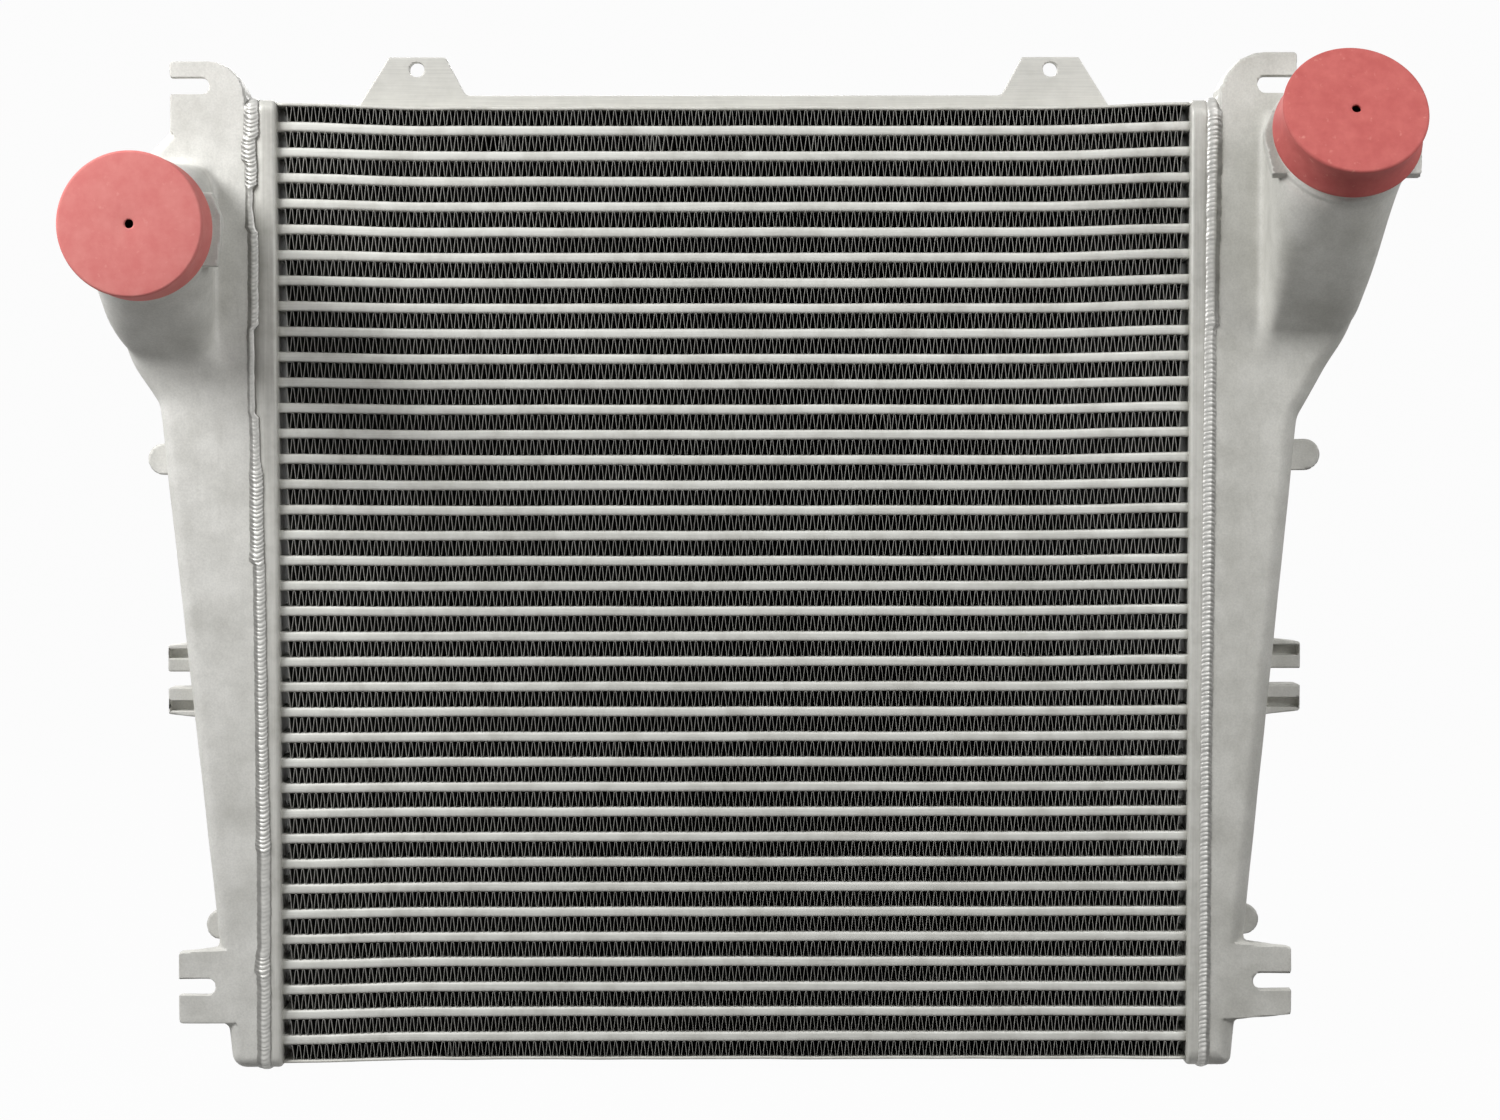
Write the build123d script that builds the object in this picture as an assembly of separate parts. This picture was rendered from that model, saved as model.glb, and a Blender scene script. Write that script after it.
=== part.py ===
from build123d import *
import math
import os

# Charge air cooler (intercooler) for a heavy truck: a brazed aluminium tube-and-fin core between
# two header pans, with a cast tank welded to each pan and a hose port on each tank.
# Frame: X runs along the tubes, Y through the core from front (ports) to back, Z up.
# The origin is the middle of the underside of the core. All sizes are in millimetres.

# ---- core ----
core_width = 732.0
core_depth = 64.0
tube_count = 37
tube_height = 8.0
tube_wall = 0.5
fin_height = 12.3
fin_wave = 5.5
fin_sheet = 0.2
fin_inset = 1.0
fin_end_gap = 5.75
side_sheet = 2.5
braze_gap = 0.04
turbulator_wave = 5.0
turbulator_sheet = 0.25
turbulator_inset = 5.0

# ---- header pans and seam welds ----
header_plate = 3.0
header_lip = 15.0
header_overhang = 6.0
header_depth = 76.0
tube_reach = 2.0
bead_width = 10.0
bead_height = 2.2
bead_round = 1.8

# ---- tanks ----
tank_wall = 4.5
foot_half_width = 407.0
foot_corner = 18.0
waist_half_width = 456.0
waist_level = 512.0
bulge_half_width = 503.0
bulge_bottom = 603.0
bulge_top = 697.0
neck_half_width = 448.5
neck_level = 752.0
bulge_round = 24.0
neck_round = 8.0
top_corner = 16.0
left_edge_round = 10.0
right_edge_round = 15.0

# ---- hose ports ----
port_radius = 50.8
port_wall = 4.0
port_length = 44.0
flange_thickness = 8.0
flange_reach = 61.0
flange_crown = 53.7
flange_foot = 57.4
flange_side_top = 8.4
flange_half_height = 28.0
flange_ring = 2.7
horn_root_depth = 23.0
horn_bow = 2.0
horn_middle = 0.55
horn_flare = 1.5
horn_points = 24
left_port_x = 453.7
left_port_y = -167.0
left_port_z = 662.8
left_port_tilt = 0.0
left_horn_inner = 406.0
left_horn_outer = 500.0
left_horn_bottom = 562.0
left_horn_top = 732.0
right_port_x = 470.5
right_port_y = -157.3
right_port_z = 748.7
right_port_tilt = 25.0
right_horn_inner = 421.0
right_horn_outer = 499.0
right_horn_bottom = 588.0
right_horn_top = 758.0

# ---- mounting ears, lugs and tabs on the tanks ----
lug_plate = 8.0
lug_corner = 2.5
slot_half_height = 6.5
ear_outer = 450.0
ear_slot_level = 784.8
ear_slot_end = 418.7
ear_gusset = 8.0
ear_gusset_depth = 50.0
left_ear_inner = 391.0
left_ear_top = 804.0
right_ear_inner = 389.0
right_ear_top = 810.8
foot_lug_outer = 448.5
foot_lug_bottom = 32.5
foot_lug_top = 92.0
foot_slot_level = 62.3
foot_slot_end = 419.0
foot_rib = 6.0
foot_rib_depth = 24.0
mid_lug_outer = 463.3
mid_lug_level = 307.7
mid_lug_finger = 22.0
mid_lug_pad = 12.0
mid_lug_rim = 3.0
mid_lug_front = 0.0
mid_lug_depth = 24.0
mid_lug_recess = 12.0
tab_back = 30.0
tab_thickness = 8.0
tab_level = 488.0
tab_reach = 483.0
tab_radius = 12.0
stub_level = 101.5
stub_reach = 438.0
stub_radius = 12.5

# ---- top bracket ----
bracket_plate = 8.0
bracket_front = -12.0
bar_height = 12.0
lug_height = 42.8
lug_hole_spacing = 512.0
lug_hole_radius = 6.0
lug_hole_drop = 10.0
lug_top_inner = 232.8
lug_top_outer = 278.8
lug_foot_inner = 216.5
lug_foot_outer = 305.5
bracket_round = 6.0

# ---- rubber dust caps ----
cap_radius = 55.3
cap_depth = 35.0
cap_face = 3.0
cap_neck_radius = 53.6
cap_neck_depth = 14.4
cap_rim_radius = 57.3
cap_fit = 0.2
cap_hole_radius = 3.5
cap_edge = 2.0

# ---- how far a cutter runs past the face it opens ----
cut_past = 1.0

# ---- worked out from the sizes above ----
row_pitch = tube_height + fin_height
core_height = tube_count * tube_height + (tube_count + 1) * fin_height + 2 * side_sheet
half_width = core_width / 2
seam_x = half_width + header_lip
header_bottom = -header_overhang
header_top = core_height + header_overhang
half_depth = header_depth / 2
fins_per_pack = 5

os.makedirs("parts", exist_ok=True)


def save(shape, name):
    """Write one sub-part under its node name."""
    shape.label = name
    export_step(shape, f"parts/{name}.step", write_pcurves=False)


def slab(points, y_from, y_to):
    """A flat outline in the XZ plane, given thickness along Y."""
    face = make_face(Polyline(*[(x, y_from, z) for x, z in points], close=True))
    return extrude(face, amount=y_to - y_from, dir=(0, 1, 0))


def block(x_from, x_to, y_from, y_to, z_from, z_to):
    """A plain rectangular block between two corners."""
    size = (x_to - x_from, y_to - y_from, z_to - z_from)
    middle = ((x_from + x_to) / 2, (y_from + y_to) / 2, (z_from + z_to) / 2)
    return Pos(*middle) * Box(*size)


def rounded_bar(x_from, x_to, level, width, height, radius):
    """A bar along X with a rounded rectangular section centred on Y = 0."""
    section = Plane.YZ * RectangleRounded(width, height, radius)
    return Pos(x_from, 0, level) * extrude(section, amount=x_to - x_from)


def tube_level(row):
    """Height of a tube's centre; row 0 is the lowest tube."""
    return side_sheet + fin_height + tube_height / 2 + row * row_pitch


def flat_oval(width, height, level):
    """The edge of a flat oval with round noses, in the YZ plane at a given height."""
    return (Plane.YZ * Pos(0, level) * SlotOverall(width, height)).face().outer_wire()


def make_tube():
    """One flat charge-air tube with round noses, open at both ends, centred on the origin."""
    reach = half_width + header_plate + tube_reach
    bore = flat_oval(core_depth - 2 * tube_wall, tube_height - 2 * tube_wall, 0)
    section = Face(flat_oval(core_depth, tube_height, 0), [bore])
    return extrude(section, amount=reach, dir=(1, 0, 0), both=True)


def folded_outline(length, wave, height, sheet):
    """Points of a folded strip's edge: a V fold of the given wave, centred on the origin."""
    legs = 2 * int(length / wave)
    step = wave / 2
    slope = math.hypot(step, height) / step
    half_sheet = sheet * slope / 2
    crest = height / 2 - half_sheet
    xs = [(i - legs / 2) * step for i in range(legs + 1)]
    zs = [crest if i % 2 else -crest for i in range(legs + 1)]
    upper = [(x, z + half_sheet) for x, z in zip(xs, zs)]
    lower = [(x, z - half_sheet) for x, z in zip(xs, zs)]
    return upper + lower[::-1]


def make_fin():
    """One folded air fin, centred on the origin, its folds running through the core."""
    length = core_width - 2 * fin_end_gap
    outline = folded_outline(length, fin_wave, fin_height - 2 * braze_gap, fin_sheet)
    half = core_depth / 2 - fin_inset
    return slab(outline, -half, half)


def make_turbulator():
    """One folded strip for the inside of a tube, centred on the origin, its folds along the tube."""
    width = core_depth - 2 * tube_wall - turbulator_inset
    height = tube_height - 2 * tube_wall - 2 * braze_gap
    outline = folded_outline(width, turbulator_wave, height, turbulator_sheet)
    face = make_face(Polyline(*[(0, y, z) for y, z in outline], close=True))
    return Pos(-half_width, 0, 0) * extrude(face, amount=core_width, dir=(1, 0, 0))


def make_side_sheet(level):
    """The flat sheet that closes the top or the bottom of the core."""
    reach = half_width - braze_gap
    return block(-reach, reach, -core_depth / 2, core_depth / 2, level, level + side_sheet)


def pan_edge(inset, edge_round):
    """The edge of the header pan's rounded rectangle in the YZ plane, moved inwards by inset."""
    height = header_top - header_bottom
    middle = (header_top + header_bottom) / 2
    outline = RectangleRounded(header_depth - 2 * inset, height - 2 * inset, edge_round - inset)
    return (Plane.YZ * Pos(0, middle) * outline).face().outer_wire()


def make_header(edge_round):
    """A header pan on the +X side: a tube plate with a lip all round that faces the tank."""
    fit = 2 * braze_gap
    slots = [flat_oval(core_depth + fit, tube_height + fit, tube_level(row)) for row in range(tube_count)]
    web = extrude(Face(pan_edge(0, edge_round), slots), amount=header_plate, dir=(1, 0, 0))
    rim = Face(pan_edge(0, edge_round), [pan_edge(header_plate, edge_round)])
    lip = Pos(header_plate, 0, 0) * extrude(rim, amount=header_lip - header_plate, dir=(1, 0, 0))
    return Pos(half_width, 0, 0) * (web + lip)


def make_bead(edge_round):
    """The seam weld on the +X side: a low ring over the joint of header lip and tank."""
    height = header_top - header_bottom
    middle = (header_top + header_bottom) / 2
    start = seam_x - bead_width / 2
    end = seam_x + bead_width / 2
    outer = rounded_bar(
        start, end, middle, header_depth + 2 * bead_height,
        height + 2 * bead_height, edge_round + bead_height)
    rims = outer.faces().sort_by(Axis.X)
    outer = fillet(rims[0].edges() + rims[-1].edges(), bead_round)
    inner = rounded_bar(start - cut_past, end + cut_past, middle, header_depth, height, edge_round)
    return outer - inner


def tank_outline():
    """The tank's outline in the XZ plane on the +X side."""
    corners = [
        (seam_x, header_bottom),
        (foot_half_width, header_bottom),
        (waist_half_width, waist_level),
        (bulge_half_width, bulge_bottom),
        (bulge_half_width, bulge_top),
        (neck_half_width, neck_level),
        (neck_half_width, header_top),
        (seam_x, header_top),
    ]
    face = make_face(Polyline(*[(x, 0, z) for x, z in corners], close=True))
    rounds = [
        (header_bottom, foot_corner), (waist_level, bulge_round), (bulge_bottom, bulge_round),
        (bulge_top, bulge_round), (neck_level, neck_round), (header_top, top_corner)]
    for level, radius in rounds:
        corner = face.vertices().filter_by(lambda v: abs(v.Z - level) < 0.01 and v.X > seam_x + 1)
        face = fillet(corner, radius)
    return face


def tank_shell(edge_round):
    """The tank's body on the +X side, before ports and lugs are added."""
    body = extrude(tank_outline(), amount=half_depth, dir=(0, 1, 0), both=True)
    rims = body.faces().filter_by(Axis.Y)
    edges = [e for f in rims for e in f.edges() if e.center().X > seam_x + 0.01]
    return fillet(edges, edge_round)


def tank_cavity():
    """The open space inside the body, run out past the side that meets the header pan."""
    inside = offset(tank_outline(), amount=-tank_wall)
    inside = inside + Pos(-tank_wall - cut_past, 0, 0) * inside
    return extrude(inside, amount=half_depth - tank_wall, dir=(0, 1, 0), both=True)


def port_frame(port):
    """A plane at the port's mouth whose normal points out along the port."""
    tilt = math.radians(port["tilt"])
    normal = (0, -math.cos(tilt), math.sin(tilt))
    return Plane(origin=(port["x"], port["y"], port["z"]), x_dir=(1, 0, 0), z_dir=normal)


def oval_point(port, angle, inset, level):
    """A point of the horn's root, a rounded rectangle written as a fourth-power oval, at Y = level."""
    half_x = (port["outer"] - port["inner"]) / 2 - inset
    half_z = (port["top"] - port["bottom"]) / 2 - inset
    c = math.cos(angle)
    s = math.sin(angle)
    reach = (c ** 4 + s ** 4) ** -0.25
    x = (port["outer"] + port["inner"]) / 2 + half_x * reach * c
    z = (port["top"] + port["bottom"]) / 2 + half_z * reach * s
    return Vector(x, level, z)


def horn_solid(port, inset):
    """The horn: a skin from the tall root oval on the tank to the round port, moved inwards by inset."""
    frame = port_frame(port)
    radius = port_radius + horn_flare - inset
    back = -port_length - flange_thickness / 2
    root = -half_depth + horn_root_depth
    face = -half_depth - horn_bow
    rings = []
    for level, blend in ((root, 0), (face, 0), (face, horn_middle), (face, 1)):
        points = []
        for i in range(horn_points):
            angle = 2 * math.pi * i / horn_points
            foot = oval_point(port, angle, inset, level)
            rim = frame.from_local_coords(Vector(radius * math.cos(angle), radius * math.sin(angle), back))
            points.append(foot + (rim - foot) * blend)
        rings.append(Wire([Edge.make_spline(points, periodic=True)]))
    return Solid.make_loft(rings)


def port_tube(port):
    """The round hose spigot with a two-eared flange behind it."""
    frame = port_frame(port)
    spigot = extrude(frame * Circle(port_radius), amount=-port_length - flange_thickness)
    half = [
        (flange_foot, -flange_half_height), (flange_reach, 0), (flange_reach, flange_side_top),
        (flange_crown, flange_half_height)]
    outline = make_face(Polyline(*half, *[(-x, z) for x, z in reversed(half)], close=True))
    flange = extrude(frame.offset(-port_length) * outline, amount=-flange_thickness)
    ring = extrude(frame.offset(-port_length) * Circle(port_radius + flange_ring), amount=-flange_thickness)
    return spigot + flange + ring


def slot_cutter(level, end, outer, half_height):
    """A round-ended slot open at its outer end, cut right through along Y."""
    centre = end + half_height
    reach = half_depth + cut_past
    bar = block(centre, outer + cut_past, -reach, reach, level - half_height, level + half_height)
    nose = Pos(centre, 0, level) * Rot(90, 0, 0) * Cylinder(half_height, 2 * reach)
    return bar + nose


def ear(inner, top):
    """The slotted ear at the tank's top, with a gusset down its inner edge."""
    front = -half_depth
    root = header_top - tank_wall
    corner = top - header_top
    face = make_face(Polyline(
        (inner, front, root), (ear_outer, front, root), (ear_outer, front, top), (inner, front, top),
        close=True))
    for x, radius in ((inner, corner), (ear_outer, lug_corner)):
        face = fillet(face.vertices().filter_by(lambda v: abs(v.X - x) < 0.01 and v.Z > top - 0.01), radius)
    plate = extrude(face, amount=lug_plate, dir=(0, 1, 0))
    deep = extrude(face, amount=ear_gusset_depth, dir=(0, 1, 0))
    core = Pos(ear_gusset, 0, -ear_gusset) * deep
    band = deep - core
    wedge_points = [
        (front, root), (front + ear_gusset_depth, root), (front + ear_gusset_depth, header_top),
        (front + lug_plate, top), (front, top)]
    wedge_face = make_face(Polyline(*[(inner, y, z) for y, z in wedge_points], close=True))
    wedge = extrude(wedge_face, amount=corner, dir=(1, 0, 0))
    gusset = band & wedge
    body = plate + gusset
    return body - slot_cutter(ear_slot_level, ear_slot_end, ear_outer, slot_half_height)


def foot_lug():
    """The slotted lug low on the tank's side, with a rib along its top and bottom edges."""
    front = -half_depth
    inner = foot_half_width - tank_wall
    plate = block(inner, foot_lug_outer, front, front + lug_plate, foot_lug_bottom, foot_lug_top)
    rib_points = [
        (inner, front), (foot_lug_outer, front), (foot_lug_outer, front + lug_plate),
        (foot_half_width + foot_rib, front + foot_rib_depth), (inner, front + foot_rib_depth)]
    rib_face = make_face(Polyline(*[(x, y, foot_lug_bottom) for x, y in rib_points], close=True))
    low_rib = extrude(rib_face, amount=foot_rib, dir=(0, 0, 1))
    high_rib = Pos(0, 0, foot_lug_top - foot_lug_bottom - foot_rib) * low_rib
    lug = plate + low_rib + high_rib
    ends = lug.edges().filter_by(Axis.Y).filter_by(lambda e: e.center().X > foot_lug_outer - 0.1)
    lug = fillet(ends, lug_corner)
    return lug - slot_cutter(foot_slot_level, foot_slot_end, foot_lug_outer, slot_half_height)


def side_half_width(level):
    """Half width of the tapered side of the tank at a given height below the waist."""
    share = (level - header_bottom) / (waist_level - header_bottom)
    return foot_half_width + share * (waist_half_width - foot_half_width)


def mid_lug():
    """The two stacked fingers half way up, each with a pad beside the slot and a recess beyond."""
    inner = side_half_width(mid_lug_level) - tank_wall
    back = mid_lug_front + mid_lug_depth
    fingers = None
    for way in (1, -1):
        near = mid_lug_level + way * slot_half_height
        far = near + way * mid_lug_finger
        finger = block(inner, mid_lug_outer, mid_lug_front, back, min(near, far), max(near, far))
        pad_end = near + way * mid_lug_pad
        pocket_end = far + way * cut_past
        pocket = block(
            inner, mid_lug_outer - mid_lug_rim, mid_lug_front - cut_past, mid_lug_front + mid_lug_recess,
            min(pad_end, pocket_end), max(pad_end, pocket_end))
        finger = finger - pocket
        fingers = finger if fingers is None else fingers + finger
    return fingers


def tab(level, reach, radius):
    """A flat round-ended tab at the back of the tank's side."""
    inner = side_half_width(level) - tank_wall
    centre = reach - radius
    bar = block(inner, centre, tab_back - tab_thickness, tab_back, level - radius, level + radius)
    nose = Pos(centre, tab_back - tab_thickness / 2, level) * Rot(90, 0, 0) * Cylinder(radius, tab_thickness)
    return bar + nose


def make_tank(port, edge_round, ear_inner, ear_top):
    """A whole tank casting on the +X side."""
    tank = tank_shell(edge_round) + horn_solid(port, 0) + port_tube(port)
    tank = tank + ear(ear_inner, ear_top)
    tank = tank + foot_lug()
    tank = tank + mid_lug()
    tank = tank + tab(tab_level, tab_reach, tab_radius)
    tank = tank + tab(stub_level, stub_reach, stub_radius)
    tank = tank - tank_cavity() - horn_solid(port, tank_wall)
    depth = port_length + flange_thickness / 2 + cut_past
    return tank - extrude(port_frame(port) * Circle(port_radius - port_wall), amount=-depth)


def make_cap(port):
    """The moulded dust cap that is pushed over a port, with a vent hole in its face."""
    inner = port_radius + cap_fit
    depth = cap_depth - cap_face
    shoulder = cap_edge * (1 - math.sqrt(0.5))
    profile = make_face([
        *Polyline(
            (cap_hole_radius, 0), (cap_hole_radius, cap_face), (cap_radius - cap_edge, cap_face)).edges(),
        ThreePointArc(
            (cap_radius - cap_edge, cap_face), (cap_radius - shoulder, cap_face - shoulder),
            (cap_radius, cap_face - cap_edge)),
        ThreePointArc(
            (cap_radius, cap_face - cap_edge), (cap_neck_radius, -cap_neck_depth), (cap_rim_radius, -depth)),
        *Polyline((cap_rim_radius, -depth), (inner, -depth), (inner, 0), (cap_hole_radius, 0)).edges(),
    ])
    cap = revolve(Plane.XZ * profile, Axis.Z)
    return port_frame(port).location * cap


def make_bracket():
    """The bar on top of the core with its two drilled lugs."""
    base = core_height
    points = [(-lug_foot_outer, base), (lug_foot_outer, base)]
    half = [
        (lug_top_outer, base + lug_height), (lug_top_inner, base + lug_height),
        (lug_foot_inner, base + bar_height)]
    points = points + half + [(-x, z) for x, z in reversed(half)]
    plate = slab(points, bracket_front, bracket_front + bracket_plate)
    bends = plate.edges().filter_by(Axis.Y).filter_by(lambda e: abs(e.center().Z - base - bar_height) < 0.1)
    plate = fillet(bends, bracket_round)
    for x in (-lug_hole_spacing / 2, lug_hole_spacing / 2):
        spot = Pos(x, bracket_front + bracket_plate / 2, base + lug_height - lug_hole_drop)
        plate = plate - spot * Rot(90, 0, 0) * Cylinder(lug_hole_radius, bracket_plate + 2 * cut_past)
    return plate


left_port = {
    "x": left_port_x, "y": left_port_y, "z": left_port_z, "tilt": left_port_tilt,
    "inner": left_horn_inner, "outer": left_horn_outer, "bottom": left_horn_bottom, "top": left_horn_top,
}
right_port = {
    "x": right_port_x, "y": right_port_y, "z": right_port_z, "tilt": right_port_tilt,
    "inner": right_horn_inner, "outer": right_horn_outer, "bottom": right_horn_bottom, "top": right_horn_top,
}


def to_left(shape):
    """The same piece on the -X side."""
    return mirror(shape, about=Plane.YZ)


tube = make_tube()
for row in range(tube_count):
    save(Pos(0, 0, tube_level(row)) * tube, f"tube_{row + 1:02d}")

fin = make_fin()
fin_levels = [side_sheet + fin_height / 2 + row * row_pitch for row in range(tube_count + 1)]
for pack, first in enumerate(range(0, tube_count + 1, fins_per_pack)):
    levels = fin_levels[first:first + fins_per_pack]
    save(Compound([Pos(0, 0, level) * fin for level in levels]), f"air_fins_{pack + 1}")

turbulator = make_turbulator()
save(Compound([Pos(0, 0, tube_level(row)) * turbulator for row in range(tube_count)]), "tube_turbulators")

save(make_side_sheet(0.0), "bottom_side_sheet")
save(make_side_sheet(core_height - side_sheet), "top_side_sheet")
save(make_bracket(), "top_bracket")
save(make_header(right_edge_round), "right_header")
save(to_left(make_header(left_edge_round)), "left_header")
save(make_bead(right_edge_round), "right_seam_weld")
save(to_left(make_bead(left_edge_round)), "left_seam_weld")
save(make_tank(right_port, right_edge_round, right_ear_inner, right_ear_top), "right_tank")
save(to_left(make_tank(left_port, left_edge_round, left_ear_inner, left_ear_top)), "left_tank")
save(make_cap(right_port), "right_dust_cap")
save(to_left(make_cap(left_port)), "left_dust_cap")
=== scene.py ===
"""Truck intercooler: the surfaces and finishes of each piece, worked out around its CAD frame."""
import functools
import itertools
import math

import bpy
import numpy as np
from bpy.props import FloatProperty, FloatVectorProperty, IntProperty, PointerProperty
from mathutils import Matrix, Vector


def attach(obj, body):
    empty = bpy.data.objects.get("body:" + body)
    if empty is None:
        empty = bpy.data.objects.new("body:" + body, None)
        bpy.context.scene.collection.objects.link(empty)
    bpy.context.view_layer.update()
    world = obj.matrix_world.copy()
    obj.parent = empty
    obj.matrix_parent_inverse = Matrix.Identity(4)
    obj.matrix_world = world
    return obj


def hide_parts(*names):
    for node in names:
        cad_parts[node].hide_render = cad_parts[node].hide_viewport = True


bl_info = {
    "name": "Truck Intercooler",
    "version": (1, 0, 0),
    "blender": (4, 5, 0),
    "location": "3D View > Sidebar > Intercooler",
    "description": "Builds a tube-and-fin charge air cooler with cast end tanks around its CAD frame",
    "category": "Add Mesh",
}

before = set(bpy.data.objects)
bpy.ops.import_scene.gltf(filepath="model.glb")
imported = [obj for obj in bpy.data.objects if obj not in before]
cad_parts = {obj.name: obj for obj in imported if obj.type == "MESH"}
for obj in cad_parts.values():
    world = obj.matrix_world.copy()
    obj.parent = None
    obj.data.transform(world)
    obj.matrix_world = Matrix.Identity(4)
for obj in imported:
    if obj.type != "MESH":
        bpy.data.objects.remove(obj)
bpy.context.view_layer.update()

# Sizes in millimetres. The core's underside is at z = 0 and its middle at x = 0; the front faces -y.
# The header pans reach 6 mm past the core above and below.
MM = 0.001
ROWS = 37
STRIPS_IN_PACK = 5
HALF_WIDTH = 366.0
SIDE_SHEET = 2.5
FOOT_Z = -6.0
HEAD_Z = 774.4
CORE_TOP = HEAD_Z + FOOT_Z
PAN_MIDDLE = CORE_TOP / 2
PAN_HALF_HEIGHT = (HEAD_Z - FOOT_Z) / 2
PAN_HALF_DEPTH = 38.0
FRONT = -PAN_HALF_DEPTH
PORT_RADIUS = 50.8
PORT_LENGTH = 44.0
PORT_WALL = 4.0
FLANGE = 8.0
LUG_PLATE = 8.0
SLOT_WIDTH = 13.0
BRACKET_DEPTH = (-12.0, -4.0)
MIRROR = np.array([-1.0, 1.0, 1.0])


# ---- small tools ----

def linear(hex_colour):
    """Turn an sRGB hex colour into the linear numbers that a shader takes."""
    parts = [int(hex_colour[i:i + 2], 16) / 255 for i in (0, 2, 4)]
    return tuple(c / 12.92 if c <= 0.04045 else ((c + 0.055) / 1.055) ** 2.4 for c in parts) + (1.0,)


def plug(node, inputs):
    """Give a node's inputs their values and links."""
    for name, value in inputs.items():
        if isinstance(value, bpy.types.NodeSocket):
            node.id_data.links.new(value, node.inputs[name])
        else:
            node.inputs[name].default_value = value


def add_node(tree, kind, inputs=None, take=None, **settings):
    """Add one shader node with its settings, values and links. It gives back the output called take,
    or else the first output in use."""
    node = tree.nodes.new(f"ShaderNode{kind}")
    for name, value in settings.items():
        setattr(node, name, value)
    plug(node, inputs or {})
    if take:
        return node.outputs[take]
    return next((socket for socket in node.outputs if socket.enabled), None)


def per_metre(size):
    """The scale of a pattern whose patches are size millimetres across: how many fit in a metre."""
    return 1000.0 / size


def smooth_step(t):
    """0 below 0, 1 above 1, and 3t^2 - 2t^3 between."""
    t = np.clip(t, 0.0, 1.0)
    return t * t * (3.0 - 2.0 * t)


def ripple(values, seed, wavelength):
    """A smooth uneven line between about -1 and 1: three sines whose lengths have no common measure."""
    rng = np.random.default_rng(seed)
    shift = rng.uniform(0.0, 2.0 * math.pi, 3)
    turns = 2.0 * math.pi * np.asarray(values) / wavelength
    return (np.sin(turns + shift[0]) + 0.7 * np.sin(turns * 1.73 + shift[1])
            + 0.5 * np.sin(turns * 2.91 + shift[2])) / 2.2


def gathered(x, y, z):
    """Points (..., 3) from three arrays of coordinates whose shapes fit together."""
    return np.stack(np.broadcast_arrays(x, y, z), axis=-1)


def grid_faces(rows, columns, wrap_rows=False, wrap_columns=False):
    """Quads over a rows x columns grid of vertices, optionally joined end to start. They face the way
    of the cross product of the column direction with the row direction."""
    i = np.arange(rows if wrap_rows else rows - 1)
    j = np.arange(columns if wrap_columns else columns - 1)
    i, j = np.meshgrid(i, j, indexing="ij")
    i2 = (i + 1) % rows
    j2 = (j + 1) % columns
    corners = [i * columns + j, i * columns + j2, i2 * columns + j2, i2 * columns + j]
    return np.stack(corners, axis=-1).reshape(-1, 4)


def joined(parts):
    """Several (points, faces) tubes, each of (rings, columns, 3) points, as one mesh with flat ends."""
    vertices = []
    faces = []
    start = 0
    for points, quads in parts:
        rows, columns = points.shape[:2]
        last = start + (rows - 1) * columns
        vertices.append(points.reshape(-1, 3))
        faces.extend((quads + start).tolist())
        faces.extend([list(range(start + columns - 1, start - 1, -1)), list(range(last, last + columns))])
        start += rows * columns
    return np.concatenate(vertices), faces


def make_piece(name, vertices, faces, look, stands_for, mirrored=False, normals=None, painted_light_and_shade=None):
    """Put vertices (n, 3) in millimetres and faces into one object that rides on the frame. A mirrored
    piece is worked out on the right and stands on the left."""
    if mirrored:
        vertices = vertices * MIRROR
        faces = [list(reversed(face)) for face in faces]
    mesh = bpy.data.meshes.new(name)
    mesh.from_pydata((np.asarray(vertices) * MM).tolist(), [], [list(map(int, face)) for face in faces])
    mesh.polygons.foreach_set("use_smooth", [True] * len(mesh.polygons))
    mesh.update()
    if normals is not None:
        mesh.normals_split_custom_set_from_vertices((normals * (MIRROR if mirrored else 1.0)).tolist())
    if painted_light_and_shade is not None:
        layer = mesh.attributes.new("painted_light_and_shade", "FLOAT", "POINT")
        layer.data.foreach_set("value", np.asarray(painted_light_and_shade, dtype=np.float32).ravel())
    mesh.materials.append(finish(look))
    piece = bpy.data.objects.new(name, mesh)
    bpy.context.scene.collection.objects.link(piece)
    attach(piece, "root")
    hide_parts(*stands_for)


def bowed(points):
    """Bow the core's rows near the header pans: points (..., 3) are lifted by
    (low + (high - low) z / height) s(t), with t running over the last reach mm of the row
    and s the smooth step. Rows near the top rise and rows near the bottom sink."""
    cooler = bpy.context.scene.cooler
    reach = cooler.bow_reach
    x = points[..., 0]
    share = np.clip(points[..., 2] / CORE_TOP, 0.0, 1.0)
    low = np.where(x < 0.0, cooler.bow_bottom_left, cooler.bow_bottom_right)
    t = (np.abs(x) - (HALF_WIDTH - reach)) / reach
    out = points.copy()
    out[..., 2] += (low + (cooler.bow_top - low) * share) * smooth_step(t)
    return out


def row_level(row):
    """Height of the middle of a tube; row 0 is the lowest."""
    cooler = bpy.context.scene.cooler
    pitch = cooler.tube_height + cooler.fin_height
    return SIDE_SHEET + cooler.fin_height + cooler.tube_height / 2 + row * pitch


# ---- finishes ----

def finish_tree(name):
    """A new material: itself, add_node for its tree, its Principled shader and its Object coordinates."""
    material = bpy.data.materials.new(name)
    material.use_nodes = True
    add = functools.partial(add_node, material.node_tree)
    return material, add, material.node_tree.nodes["Principled BSDF"], add("TexCoord", take="Object")


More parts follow.
